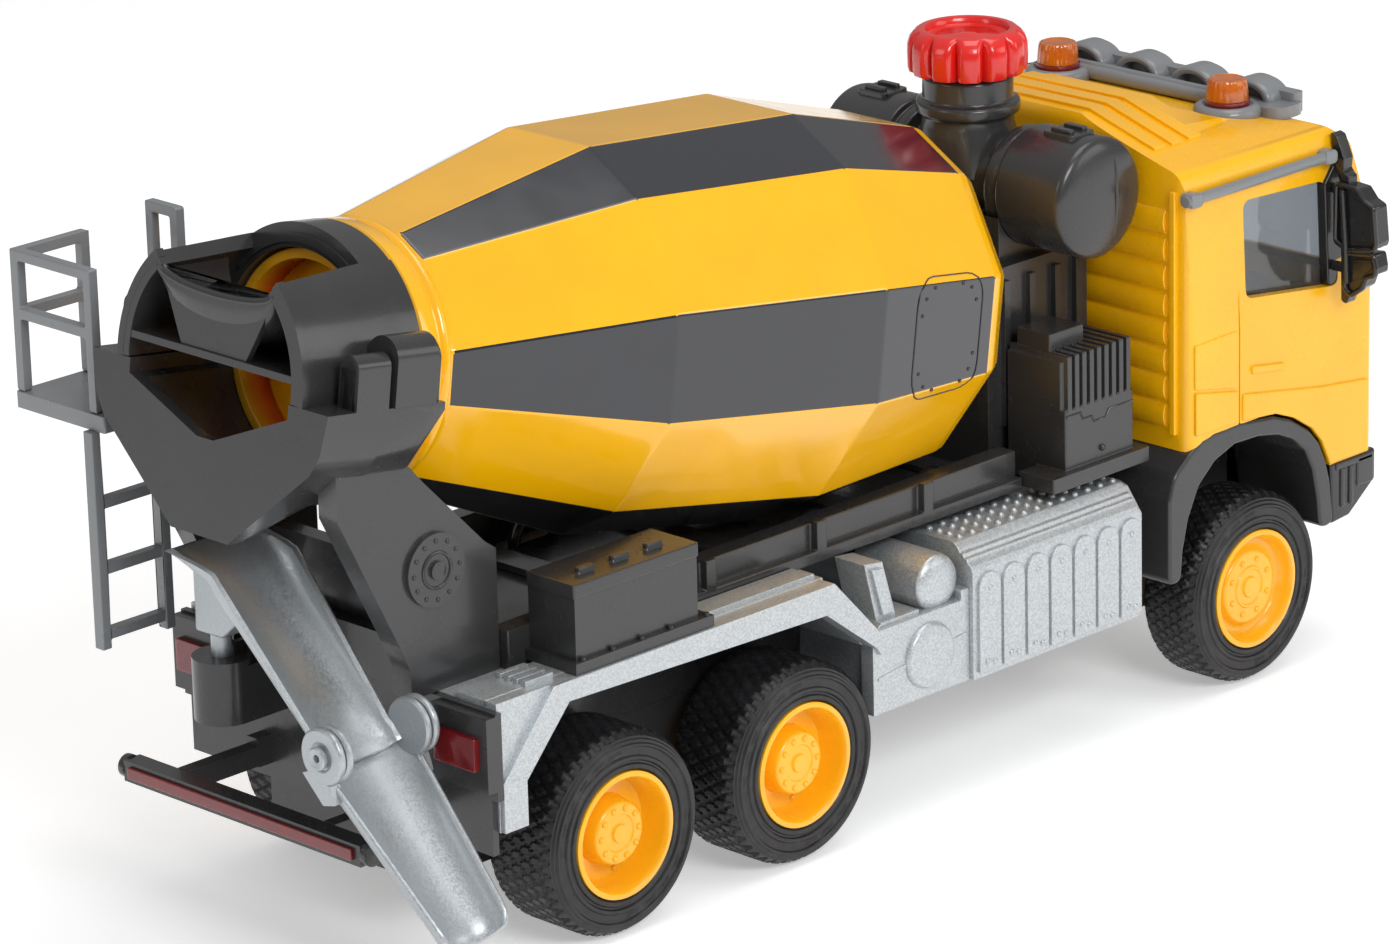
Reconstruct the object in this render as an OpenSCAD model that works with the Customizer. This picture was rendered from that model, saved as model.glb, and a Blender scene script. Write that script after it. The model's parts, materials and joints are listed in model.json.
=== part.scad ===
// Toy cement mixer truck. Millimetres, +X to the front, +Y to the left, +Z up.
// Modules are drawn from the rear axle's foot; place() moves them so that the
// origin is the centre of the truck's footprint on the ground.

/* [Wheels] */
// Radius over a tyre
wheel_r = 16; // [15.8:0.1:16.2]
// Distance from the rear axle to the middle axle
bogie_gap = 38.3; // [37:0.1:40]
// Distance from the rear axle to the front axle
wheelbase = 144.3; // [143.5:0.1:145]
// Width over the wheels
track_w = 69.2; // [68.8:0.1:69.6]
// Width of a rear tyre
rear_tyre_w = 14.6; // [13:0.1:15]
// Width of a front tyre
front_tyre_w = 12; // [11:0.1:13]
// Radius of a wheel hub
hub_r = 9.9; // [9.5:0.1:10.3]

/* [Drum] */
// Downward tilt of the drum's axis towards the front, in degrees
drum_tilt = 8.2; // [8:0.1:8.4]
// Height of the drum's axis at the neck
neck_z = 88; // [87.8:0.1:88.4]
// Radius of the drum at its widest
drum_r = 33.3; // [32:0.1:33.4]
// Radius of the rotating mouth ring
mouth_r = 16.2; // [16.1:0.05:16.2]
// Angle covered by an upper or lower dark stripe, in degrees
stripe_angle = 23.6; // [20:0.2:26]
// Angle covered by a side stripe, in degrees
side_stripe_angle = 30.8; // [27:0.2:33]

/* [Drive] */
// Gear module of the drum drive
gear_module = 0.8; // [0.8:0.1:0.8]
// Teeth on the knob's pinion
pinion_teeth = 10; // [10:1:10]
// Teeth on the drum's crown gear
crown_teeth = 20; // [20:1:20]
// Radius of the red knob
knob_r = 9.6; // [9:0.1:10]

/* [Chute] */
// Half width of the chute at its mouth
chute_w = 9; // [8.6:0.1:9.2]
// Slope of the upper chute below the horizontal, in degrees
upper_slope = 47.3; // [46.5:0.1:48]
// Slope of the lower chute below the horizontal, in degrees
lower_slope = 44; // [43.5:0.1:44.5]

/* [Fits] */
// Radial clearance of every running fit
run = 0.06; // [0.02:0.01:0.09]

/* [Hidden] */
$fn = 64;

charcoal = "#4a4a4c";
silver = "#b9bdc1";
yellow = "#f7b811";
dark = "#3d3d42";

// Footprint: from the chute's ears to the front of the grille.
rear_end = -51;
front_end = 175.2;
middle_x = (rear_end + front_end) / 2;
side_y = track_w / 2;
axle_r = 1.5;
axle_half = side_y - 3.6;

// Drum axis and the stations along it, measured from the neck.
neck_x = -16.1;
rear_face_s = -31;
arch_r = 20.2;
arch_rear = -14;
arch_front = -8;
wall_r = 19.9;
split_h = -1.5;
journal_r = 3;

// Knob axis and its gears.
knob_x = 113.7;
shaft_r = 3;
pinion_r = gear_module * pinion_teeth / 2;
crown_r = gear_module * crown_teeth / 2;
gear_deep = 0.7;
crown_s = (knob_x - pinion_r - neck_x - crown_r * sin(drum_tilt)) / cos(drum_tilt);
mesh_z = neck_z - crown_s * sin(drum_tilt) + crown_r * cos(drum_tilt);
tank_x = 115.5;
tank_z = 87;
tank_r = 9.85;

// Chute: pivot on the rear panel, hinge between the two troughs.
chute_x = -40.2;
pivot_x = -36.5;
pivot_y = 12.5;
hinge_y = -24;
hinge_z = 40.2;
post_r = 1.6;
pin_r = 1.3;

wheel_sets = [0, bogie_gap, wheelbase];

module place() translate([-middle_x, 0, 0]) children();

module both_sides() {
    children();
    mirror([0, 1, 0]) children();
}

// A side outline, drawn as (x, z), given thickness from y0 to y1.
module side_slab(y0, y1) translate([0, y1, 0]) rotate([90, 0, 0])
    linear_extrude(y1 - y0) children();

// A rear outline, drawn as (y, z), given thickness from x0 to x1.
module rear_slab(x0, x1) translate([x0, 0, 0]) rotate([90, 0, 90])
    linear_extrude(x1 - x0) children();

module block(low, high) translate(low) cube(high - low);

module rod_x(from, length, r) translate(from) rotate([0, 90, 0]) cylinder(h = length, r = r);
module rod_y(from, length, r) translate(from) rotate([-90, 0, 0]) cylinder(h = length, r = r);
module rod_z(from, length, r) translate(from) cylinder(h = length, r = r);

// Frame on the drum's axis: X runs to the front along it, Z points up from it.
module drum_frame() translate([neck_x, 0, neck_z]) rotate([0, drum_tilt, 0]) children();

/* ---- chassis ---- */

plate_bottom = 11;
plate_top = 26;
plate_half = 17;
frame_top = 42.6;
deck_front = 121;

module base_plate() color(charcoal) place() difference() {
    block([-24.4, -plate_half, plate_bottom], [163, plate_half, plate_top]);
    for (x = wheel_sets)
        rod_y([x, -plate_half - 1, wheel_r], 2 * plate_half + 2, axle_r + run);
    for (x = screw_xs) {
        rod_z([x, 0, plate_bottom - 1], 12, 1.3);
        rod_z([x, 0, plate_bottom - 1], 3, 2.7);
    }
    block([60, -13, 15], [100, 13, plate_top + 1]);
}

screw_xs = [-12, 19, 52, 110, 157];

module base_screws() color(silver) place() for (x = screw_xs) difference() {
    union() {
        rod_z([x, 0, plate_bottom + 0.4], 1.6, 2.5);
        rod_z([x, 0, plate_bottom + 1.9], 7, 1.15);
    }
    block([x - 1.5, -0.25, plate_bottom], [x + 1.5, 0.25, plate_bottom + 1.1]);
    block([x - 0.25, -1.5, plate_bottom], [x + 0.25, 1.5, plate_bottom + 1.1]);
}

module chassis_frame() color(charcoal) place() difference() {
    block([-24.4, -plate_half, plate_top], [deck_front, plate_half, frame_top]);
    block([-21, -plate_half + 2.4, plate_top - 1], [deck_front - 2.4, plate_half - 2.4, frame_top - 2.4]);
}

rail_in = 19.6;
rail_out = 23.2;

module subframe() color(charcoal) place() {
    both_sides() {
        block([-12, rail_in, frame_top], [98.8, rail_out, 48.8]);
        block([20.2, rail_out, frame_top], [98.8, rail_out + 1.4, 44.6]);
        for (x = [28, 52, 76]) {
            block([x, rail_out, 44.6], [x + 2.2, rail_out + 1.4, 49.2]);
        }
    }
    for (x = [18, 44, 70, 93.8]) block([x, -rail_in, frame_top], [x + 5, rail_in, 43.9]);
}

module hoses() color(dark) place() for (x = [31, 59, 86]) for (side = [-1, 1])
    translate([x, 16.4 * side, frame_top]) rotate([90, 0, 0])
        rotate_extrude(angle = 180) translate([4.2, 0]) circle(r = 1);

/* ---- castings at the sides ---- */

deck_z = 43.5;
fender_rear = -24.4;
fender_front = 55.4;

module fender_outline() polygon([
    [fender_rear, 23.4], [fender_rear, deck_z], [45.5, deck_z], [fender_front, 32.7],
    [fender_front, 19], [fender_front - 0.9, 19], [fender_front - 0.9, 30.4],
    [43.6, 38.7], [-10.6, 40.2], [-19.6, 30.4], [-19.6, 23.4]
]);

// The raised edge band that follows the wheel opening.
module fender_band() polygon([
    [-24.2, 23.6], [-24.2, 31], [-13, deck_z], [45.5, deck_z], [fender_front, 32.7],
    [fender_front, 28], [fender_front - 1.6, 28], [43.6, 38.7], [-10.6, 40.2],
    [-19.6, 30.4], [-19.6, 23.4]
]);

module fender() {
    side_slab(-side_y + 0.9, -side_y + 3.6) fender_outline();
    side_slab(-side_y, -side_y + 0.9) fender_band();
    block([fender_rear, -side_y + 3.6, 41.4], [46.5, -plate_half, frame_top]);
    block([fender_rear, -side_y + 3.6, frame_top], [46.5, -24.8, deck_z]);
    side_slab(-side_y + 3.6, -plate_half) polygon([
        [46.5, frame_top], [fender_front, 32.7], [fender_front, 30.2],
        [fender_front - 1, 30.2], [46.5, 40]
    ]);
    for (i = [0:3])
        block([-16.5, -31 + 1.7 * i, deck_z], [-11.5, -30 + 1.7 * i, deck_z + 0.7]);
}

module fender_right() color(silver) place() fender();
module fender_left() color(silver) place() mirror([0, 1, 0]) fender();

tank_front = 116.6;
tank_back = 76.4;
tank_foot = 19;

module side_tank() {
    rear_slab(tank_back, tank_front) polygon([
        [-side_y, tank_foot], [-side_y, 37], [-33.9, 38.4], [-33, 39.2], [-32.2, 39.4],
        [-31.6, 40.4], [-30, 41], [-plate_half, 41], [-plate_half, tank_foot]
    ]);
    for (i = [0:5]) {
        x = tank_back + 7.2 + 5.9 * i;
        block([x - 2, -side_y - 0.3, 21.5], [x + 2, -side_y, 36.4]);
    }
    block([fender_front, -side_y + 1, tank_foot], [tank_back, -plate_half, 32.6]);
    rod_y([67.1, -side_y + 0.3, 25.7], 1, 5.2);
    difference() {
        rod_y([70.6, -32.6, 36.2], 32.6 - plate_half, 4.7);
        block([60, -40, 25], [80, -10, 32.6]);
    }
    difference() {
        side_slab(-31.6, -24.8) polygon([[55.4, 43], [59.6, 42.6], [62.4, 32.4], [58, 32.4]]);
        rod_y([70.6, -40, 36.2], 30, 4.7);
    }
    for (i = [0:11]) for (j = [0:3])
        rod_z([tank_back + 3 + 3 * i, -30 + 2 * j, 41], 0.6, 0.55);
}

module side_tank_right() color(silver) place() side_tank();
module side_tank_left() color(silver) place() mirror([0, 1, 0]) side_tank();

/* ---- rear end ---- */

panel_x = -25.6;
boss_r = 4.6;
boss_top = 43.4;

module rear_panel() color(charcoal) place() difference() {
    union() {
        block([panel_x, -side_y, 28.8], [-24.4, side_y, 42.4]);
        block([panel_x, -33.2, 20], [-24.4, 33.2, 28.8]);
        both_sides() block([-27.4, 22.6, 30.4], [panel_x, side_y, 42]);
        rod_z([pivot_x, pivot_y, 33.6], boss_top - 33.6, boss_r);
        block([pivot_x, pivot_y - boss_r, 33.6], [panel_x, pivot_y + boss_r, 42.4]);
        both_sides() block([-28.4, 15, 22.4], [panel_x, 17.4, 27]);
    }
    rod_z([pivot_x, pivot_y, 34.6], 20, post_r + run);
}

module tail_lights() color("#a01820") place() both_sides()
    block([-28.4, 24.2, 33.8], [-27.4, 32.9, 38.8]);

bar_half = 27.4;
bar_top = 25.7;

module underrun_bar() color(charcoal) place() {
    block([-45.2, -bar_half + 1.2, 22.4], [-42, bar_half - 1.2, bar_top]);
    both_sides() {
        rod_y([-43.6, bar_half - 1.2, 24.2], 1.2, 1.8);
        block([-42, 15, 22.6], [-28.4, 17.4, 25.8]);
    }
}

module underrun_stripe() color("#b01c24") place()
    block([-45.8, -bar_half + 2.6, 23.2], [-45.2, bar_half - 2.6, 25]);

/* ---- boxes on the deck ---- */

module toolbox() color(charcoal) place() {
    block([-8.6, -34, deck_z], [20, -rail_out, 45.2]);
    block([-7.6, -33, 45.2], [17.6, -rail_out, 54.8]);
    for (x = [-6.6, -0.6, 5.4, 11.4, 19]) rod_z([x, -33.4, 45.2], 0.5, 0.4);
}

module toolbox_lid() color(charcoal) place() {
    block([-7.9, -33.3, 54.8], [17.9, -rail_out + 0.2, 57]);
    for (x = [-4, 3, 10]) block([x, -30.4, 57], [x + 3.4, -29.2, 58]);
}

module cooler_box() color(charcoal) place() {
    block([99, -31, frame_top + 0.4], [122, -rail_out - 0.2, 45.4]);
    block([103.4, -29.6, frame_top], [119.6, -housing_half, 45.4]);
    block([103.4, -29.6, 45.4], [119.6, -17.2, 55.4]);
    block([103.4, -28.6, 55.4], [119.6, -17.2, 63.2]);
    for (i = [0:8]) block([104 + 1.75 * i, -29.6, 55], [105 + 1.75 * i, -17.2, 64.2]);
    block([104.4, -25.5, 63], [112.4, -18.4, 67]);
}

/* ---- drum support ---- */

module pedestal() color(charcoal) place() {
    difference() {
        both_sides() side_slab(17.6, 21.6) polygon([
            [-29.8, frame_top], [-12.2, frame_top], [-12.2, 61.4], [-14.4, 63],
            [-26, 75], [-28.6, 78], [-42.6, 80], [-42.6, 73], [-31.6, 51], [-29.8, 47]
        ]);
        drum_frame() cradle_body();
    }
    both_sides() {
        rod_y([-24.6, 21.6, 61.4], 0.7, 5.6);
        rod_y([-24.6, 21.6, 61.4], 1.2, 1.4);
    }
    block([-27, -17.6, frame_top], [-14, 17.6, 50]);
    block([-24, -17.6, 50], [-21, 17.6, 60]);
}

// Half outline of the cradle's rear face, as (y, h) from the drum's axis.
cradle_out = 25.6;
nose_half = 6.2;
nose_h = -24.3;

module cradle_rear() polygon([
    [-cradle_out, split_h], [-24.4, -7.6], [-22.4, -10.9], [-nose_half, -21], [-nose_half, nose_h],
    [nose_half, nose_h], [nose_half, -21], [22.4, -10.9], [24.4, -7.6], [cradle_out, split_h]
]);

module cradle_front() polygon([
    [-cradle_out, split_h], [-24.6, -7.6], [-22.4, -11.4], [-9, -19.4],
    [9, -19.4], [22.4, -11.4], [24.6, -7.6], [cradle_out, split_h]
]);

module cradle_body() {
    hull() {
        rear_slab(rear_face_s, rear_face_s + 2.4) cradle_rear();
        rear_slab(-20, -19) cradle_front();
    }
    hull() {
        rear_slab(-19, -12) cradle_front();
        block([-12, -cradle_out, split_h - 1.2], [-8.4, cradle_out, split_h]);
    }
}

module cradle() color(charcoal) place() drum_frame() difference() {
    union() {
        cradle_body();
        both_sides() {
            block([-25.6, 21.6, split_h], [-19.4, cradle_out, 4.4]);
            rod_x([-25.6, (21.6 + cradle_out) / 2, 4.4], 6.2, 2);
        }
    }
    rod_x([arch_rear - 1, 0, 0], 20, mouth_r + run);
    rod_x([-28.9, 0, 0], 14, 16.4);
    rear_slab(rear_face_s - 1, -15) polygon([
        [-17.2, 1], [-17.2, -3.7], [-1.8, -9.9], [1.8, -9.9], [17.2, -3.7], [17.2, 1]
    ]);
    block([-28.9, -4.6, -30], [-21.4, 4.6, 0]);
}

module hopper() color(charcoal) place() drum_frame() {
    difference() {
        rod_x([rear_face_s, 0, 0], arch_front - rear_face_s, wall_r);
        rod_x([rear_face_s - 1, 0, 0], arch_rear - rear_face_s + 0.7, wall_r - 2.3);
        rod_x([arch_rear - 1, 0, 0], 20, mouth_r + run);
        block([rear_face_s - 1, -30, -30], [0, 30, split_h]);
        block([rear_face_s - 1, -12.6, 10], [arch_rear - 0.1, 12.6, 30]);
    }
    difference() {
        rod_x([arch_rear, 0, 0], arch_front - arch_rear, arch_r);
        rod_x([arch_rear - 1, 0, 0], 20, wall_r);
        block([-20, -30, -30], [0, 30, split_h]);
    }
    rear_slab(rear_face_s, rear_face_s + 1.2) polygon([[-6.8, 2.4], [-12.5, 13.4], [12.5, 13.4], [6.8, 2.4]]);
    block([rear_face_s, -17.9, 1.6], [-18, 17.9, 2.6]);
    difference() {
        hull() {
            block([rear_face_s + 0.3, -12.2, 12.6], [-16.4, 12.2, 13.4]);
            block([rear_face_s + 0.3, -5.8, 2.4], [-26, 5.8, 3]);
        }
        hull() {
            block([rear_face_s + 1.2, -11, 12.6], [-16.2, 11, 14]);
            block([rear_face_s + 1.2, -4.8, 3.6], [-26.2, 4.8, 4]);
        }
        block([-26, -9, 3.4], [-10, 9, 11.5]);
    }
    both_sides() {
        block([-18.6, arch_r - 1.4, split_h], [-10.8, cradle_out + 0.6, 5]);
        rod_x([-18.6, 22.8, 5], 7.8, 3.4);
    }
}

/* ---- ladder and platform ---- */

ladder_y = 27.6;
bar_w = 1.7;
rail_rear = -46.6;
rail_front = -34.2;

module ladder() color("#808386") place() {
    for (x = [rail_rear, rail_front]) block([x, ladder_y, 43], [x + bar_w, ladder_y + 2, 77]);
    for (z = [44.4, 54.6, 64.8]) block([rail_rear + bar_w, ladder_y + 0.2, z], [rail_front, ladder_y + 1.8, z + 1.6]);
    block([rail_front, 21.6, 71.6], [rail_front + bar_w, ladder_y, 73.4]);
}

platform_z = 79.6;
platform_out = 46;

module platform() color("#808386") place() {
    block([-45.6, ladder_y, platform_z - 1.4], [-31.4, platform_out, platform_z]);
    block([-45.6, ladder_y, platform_z - 2.6], [-44.4, platform_out, platform_z - 1.4]);
    block([-45.6, platform_out - 1.2, platform_z - 2.6], [-31.4, platform_out, platform_z - 1.4]);
    block([-32.6, ladder_y, platform_z - 2.6], [-31.4, platform_out, platform_z - 1.4]);
    block([-45.6, 25.7, platform_z - 2.6], [-31.4, ladder_y, platform_z]);
}

module platform_rails() color("#808386") place() {
    post = 1.6;
    top = 101.6;
    mid = 91;
    out = platform_out - 0.2;
    for (p = [[-45.4, ladder_y], [-45.4, out - post], [-33, out - post]])
        translate([p[0], p[1], platform_z]) cube([post, post, top - platform_z]);
    for (z = [mid, top - post]) {
        block([-45.4, ladder_y, z], [-45.4 + post, out, z + post]);
        block([-45.4, out - post, z], [-31.4, out, z + post]);
    }
    block([-33, ladder_y, platform_z], [-33 + post, ladder_y + post, 109.4]);
    block([-33, 22, 107.8], [-33 + post, ladder_y + post, 109.4]);
    block([-33, 22, 98.93], [-33 + post, 22 + post, 109.4]);
}

/* ---- drive ---- */

housing_back = 100.9;
housing_front = 124.6;
housing_half = 15.4;

module gear_housing() color(charcoal) place() difference() {
    union() {
        block([housing_back, -housing_half, frame_top], [housing_front, housing_half, 76]);
        block([106.4, -13, 76], [housing_front, 13, tank_z]);
        both_sides() for (x = [104, 110, 116, 121])
            block([x, housing_half, 50], [x + 1.4, housing_half + 1, 74]);
    }
    block([103.6, -11, 56], [122.4, 11, 76.1]);
    block([107.6, -11, 76], [122.4, 11, tank_z + 1]);
    drum_frame() rod_x([100, 0, 0], 24, journal_r + run);
    rod_y([tank_x, -40, tank_z], 80, tank_r);
    drum_frame() rod_x([crown_s - 5, 0, 0], 5.8, crown_r + 2.4);
}

module cross_tank() color(charcoal) place() difference() {
    union() {
        rod_y([tank_x, -27, tank_z], 54, tank_r);
        rod_z([knob_x, 0, tank_z], 103.4 - tank_z, 7.3);
        rod_z([knob_x, 0, 97.4], 1.8, 8.4);
        both_sides() {
            block([tank_x - 0.6, 27, tank_z - 8], [tank_x + 0.6, 27.8, tank_z + 8]);
        }
    }
    rod_z([knob_x, 0, tank_z - 20], 50, shaft_r + run);
    rod_z([knob_x, 0, tank_z - 20], mesh_z + 3 - tank_z + 20, pinion_r + 2);
    drum_frame() rod_x([crown_s - 5, 0, 0], 7, crown_r + 2.4);
    both_sides() difference() {
        rod_y([tank_x, 12, tank_z], 3, tank_r + 1);
        rod_y([tank_x, 11, tank_z], 5, tank_r - 0.8);
    }
}

module knob() color("#d8201c") place() difference() {
    union() {
        rod_z([knob_x, 0, 103.8], 7.2, knob_r - 0.7);
        for (i = [0:11]) rotate_about_knob(i * 30) rod_z([knob_r - 1.3, 0, 103.8], 7.2, 1.3);
    }
    rod_z([knob_x, 0, 109.6], 3, knob_r - 3);
    rod_z([knob_x, 0, 103], 4, shaft_r);
}

module rotate_about_knob(angle) translate([knob_x, 0, 0]) rotate([0, 0, angle]) children();

// Trapezium tooth that points along +X, centred on a pitch radius.
module tooth(pitch_r, root_w, tip_w) polygon([
    [pitch_r - gear_deep - 0.6, -root_w / 2], [pitch_r + gear_deep, -tip_w / 2],
    [pitch_r + gear_deep, tip_w / 2], [pitch_r - gear_deep - 0.6, root_w / 2]
]);

module knob_shaft() color("white") place() {
    rod_z([knob_x, 0, mesh_z - 1.3], 107 - mesh_z + 1.3, shaft_r);
    for (i = [0:pinion_teeth - 1]) rotate_about_knob((i + 0.5) * 360 / pinion_teeth)
        translate([0, 0, mesh_z - 1.3]) linear_extrude(2.6) tooth(pinion_r, 1.25, 0.6);
}

module drum_journal() color("white") place() drum_frame() {
    rod_x([114.8, 0, 0], crown_s - 3 - 114.8, journal_r);
    rod_x([crown_s - 3.4, 0, 0], 2.4, crown_r + 1.5);
    for (i = [0:crown_teeth - 1]) rotate([i * 360 / crown_teeth, 0, 0])
        translate([crown_s - 1.1, 0, crown_r - 1.4]) linear_extrude(2.8) polygon([
            [0, -0.62], [1.1 + gear_deep, -0.3], [1.1 + gear_deep, 0.3], [0, 0.62]
        ]);
}

/* ---- drum ---- */

// Stations of the drum as (distance along the axis, radius at the corners, share of the stripes' full width).
drum_stations = [
    [-2, 20.1, 0.75], [33.7, drum_r - 2.4, 1], [76.3, drum_r, 1], [107.2, 28.7, 1], [112.4, 24.5, 1], [114.8, 17, 1]
];

// Centre and width of each dark stripe, in degrees from the top; a yellow facet lies between two stripes.
stripes = [
    [28, stripe_angle], [90, side_stripe_angle], [152, stripe_angle],
    [208, stripe_angle], [270, side_stripe_angle], [332, stripe_angle]
];

function drum_corners(share) = [for (stripe = stripes) for (side = [-1, 1]) stripe[0] + side * share * stripe[1] / 2];

module drum_slice(s, r, share = 1) rear_slab(s, s + 0.01)
    polygon([for (a = drum_corners(share)) [-r * sin(a), r * cos(a)]]);

module drum_solid() for (i = [0:len(drum_stations) - 2]) hull() {
    drum_slice(drum_stations[i][0], drum_stations[i][1], drum_stations[i][2]);
    drum_slice(drum_stations[i + 1][0] - 0.01, drum_stations[i + 1][1], drum_stations[i + 1][2]);
}

drum_wall = 1.6;

module drum_shell() color(yellow) place() drum_frame() difference() {
    union() {
        drum_solid();
        rod_x([-7.7, 0, 0], 5.8, arch_r);
    }
    hull() {
        drum_slice(1, 18, 0.75);
        drum_slice(33.7, drum_r - 2.4 - drum_wall);
    }
    hull() {
        drum_slice(33.6, drum_r - 2.4 - drum_wall);
        drum_slice(108, 27);
    }
    rod_x([-8, 0, 0], 10, mouth_r);
}

module drum_mouth() color("#f59a13") place() drum_frame() {
    difference() {
        rod_x([-12.6, 0, 0], 14.6, mouth_r);
        rod_x([-13, 0, 0], 16, mouth_r - 1.6);
    }
    for (i = [0:2]) rotate([120 * i + 20, 0, 0])
        block([-10.5, -0.8, 7], [1.5, 0.8, mouth_r - 1.2]);
}

/* ---- wheels ---- */

// Rubber ring with rounded shoulders, from y = 0 (outer face) inwards.
module tyre(width) rotate([-90, 0, 0]) rotate_extrude(convexity = 4) polygon([
    [hub_r, 0.4], [hub_r + 0.6, 0], [wheel_r - 2.2, 0], [wheel_r - 0.6, 0.7], [wheel_r, 2],
    [wheel_r, width - 2], [wheel_r - 0.6, width - 0.7], [wheel_r - 2.2, width], [hub_r, width]
]);

// Dished hub, from y = 0 (outer face) inwards, with its bore for the axle.
module hub(width, dish, boss, boss_r) rotate([-90, 0, 0]) rotate_extrude(convexity = 4) polygon([
    [axle_r, 3.6], [axle_r, width], [hub_r, width], [hub_r, 0], [hub_r - 1, 0],
    [hub_r - 1.8, dish], [boss_r + 0.3, dish], [boss_r, boss], [0, boss], [0, 3.6]
]);

module tyre_at(x, width) translate([x, -side_y, wheel_r]) tyre(width);
module rear_hub_at(x) translate([x, -side_y, wheel_r]) hub(12, 5, 1.4, 4.9);
module front_hub_at(x) translate([x, -side_y, wheel_r]) hub(9.6, 3, 1.6, 6.2);
module axle_at(x) rod_y([x, -axle_half, wheel_r], 2 * axle_half, axle_r);

module tyre_rear_right() color("#222224") place() tyre_at(wheel_sets[0], rear_tyre_w);
module tyre_rear_left() color("#222224") place() mirror([0, 1, 0]) tyre_at(wheel_sets[0], rear_tyre_w);
module tyre_middle_right() color("#222224") place() tyre_at(wheel_sets[1], rear_tyre_w);
module tyre_middle_left() color("#222224") place() mirror([0, 1, 0]) tyre_at(wheel_sets[1], rear_tyre_w);
module tyre_front_right() color("#222224") place() tyre_at(wheel_sets[2], front_tyre_w);
module tyre_front_left() color("#222224") place() mirror([0, 1, 0]) tyre_at(wheel_sets[2], front_tyre_w);
module hub_rear_right() color(yellow) place() rear_hub_at(wheel_sets[0]);
module hub_rear_left() color(yellow) place() mirror([0, 1, 0]) rear_hub_at(wheel_sets[0]);
module hub_middle_right() color(yellow) place() rear_hub_at(wheel_sets[1]);
module hub_middle_left() color(yellow) place() mirror([0, 1, 0]) rear_hub_at(wheel_sets[1]);
module hub_front_right() color(yellow) place() front_hub_at(wheel_sets[2]);
module hub_front_left() color(yellow) place() mirror([0, 1, 0]) front_hub_at(wheel_sets[2]);
module axle_rear() color("white") place() axle_at(wheel_sets[0]);
module axle_middle() color("white") place() axle_at(wheel_sets[1]);
module axle_front() color("white") place() axle_at(wheel_sets[2]);

/* ---- cab ---- */

cab_rear = 127.5;
cab_skin = 1.8;

// Side outline of the cab, drawn inwards by the given amount.
module cab_side(t) polygon([
    [cab_rear + t, 43.4], [cab_rear + t, 95.2 - t], [cab_rear + 2, 96.6 - t], [140, 95.6 - t], [150, 92 - t],
    [164, 89.8 - t], [168.6 - t, 86.4], [171.4 - t, 78], [173.4 - t, 62], [174.2 - t, 58], [174.2 - t, 32.6],
    [162.8 + t, 32.6], [161.4 + t, 37.6], [157.6 + t, 42.6], [149.5 + t / 2, 45.3 + t], [133 + t, 45.3 + t], [129.4, 43.4]
]);

// Rear outline of the cab, drawn inwards by the given amount.
module cab_section(t) polygon([
    [-side_y + t, 30], [-side_y + t, 61], [-33.4 + t, 86.8], [-32.2 + t, 89.2 - t / 2],
    [-22, 92.2 - t], [-11, 95.6 - t], [11, 95.6 - t], [22, 92.2 - t],
    [32.2 - t, 89.2 - t / 2], [33.4 - t, 86.8], [side_y - t, 61], [side_y - t, 30]
]);

module cab_solid(t) intersection() {
    side_slab(-side_y, side_y) cab_side(t);
    rear_slab(cab_rear - 1, 176) cab_section(t);
}

module side_window(grow) polygon([
    [141.2 - grow, 65.4 - grow], [141.2 - grow, 82 + grow], [160.2 + grow, 80.8 + grow], [164.4 + grow, 63 - grow]
]);

module windscreen_window(grow) polygon([
    [-29.6 - grow, 64 - grow], [-28 - grow, 85 + grow], [28 + grow, 85 + grow], [29.6 + grow, 64 - grow]
]);

// Side view of the windscreen, at a depth below the cab's skin, from the top down.
function windscreen_line(t) = [[168.6 - t, 86.4], [171.4 - t, 78], [173.4 - t, 62]];

function reverse(list) = [for (i = [len(list) - 1:-1:0]) list[i]];

module cab_shell() color(yellow) place() {
    difference() {
        cab_solid(0);
        difference() {
            cab_solid(cab_skin);
            block([120, -40, 30], [180, 40, 33]);
        }
        block([cab_rear + cab_skin, -side_y + cab_skin, 30], [158, side_y - cab_skin, 50]);
        side_slab(-40, 40) side_window(0);
        rear_slab(160, 180) windscreen_window(0);
        both_sides() block([139.6, side_y - 0.4, 44], [140, side_y + 1, 83]);
    }
    for (i = [0:7]) both_sides()
        block([cab_rear - 0.7, 10.2, 48 + 4.6 * i], [cab_rear, 28.6, 50 + 4.6 * i]);
    both_sides() block([147, side_y - 0.01, 55], [152.4, side_y + 0.5, 56.4]);
}

module cab_glazing() color([0.6, 0.7, 0.8, 0.5]) place() {
    both_sides() side_slab(31.2, 31.8) side_window(0.3);
    intersection() {
        rear_slab(162, 172) windscreen_window(0.4);
        side_slab(-40, 40) polygon(concat(windscreen_line(cab_skin + 0.05), reverse(windscreen_line(cab_skin + 0.75))));
    }
}

module cab_interior() color("#2c2c2e") place() {
    block([130.4, -30, 45.3], [161, 30, 47]);
    both_sides() {
        block([132, 7, 47], [148, 27, 56]);
        block([132, 7, 56], [136.5, 27, 76]);
    }
    block([159, -30, 47], [168, 30, 60.6]);
    rod_x([154.5, 16, 58], 4.5, 1);
}

module steering_wheel() color("#2c2c2e") place() translate([153, 16, 58]) rotate([0, 90, 0]) {
    rotate_extrude() translate([6, 0]) circle(r = 0.8);
    translate([0, 0, -0.6]) cylinder(h = 2.1, r = 2);
    for (a = [0, 120, 240]) rotate([0, 0, a]) translate([1.5, -0.6, -0.5]) cube([4, 1.2, 1]);
}

module grille() color("#303032") place() {
    block([174.25, -19, 38], [174.7, 19, 57]);
    for (z = [39:3:55]) block([174.7, -18, z], [front_end, 18, z + 1.4]);
}

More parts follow.
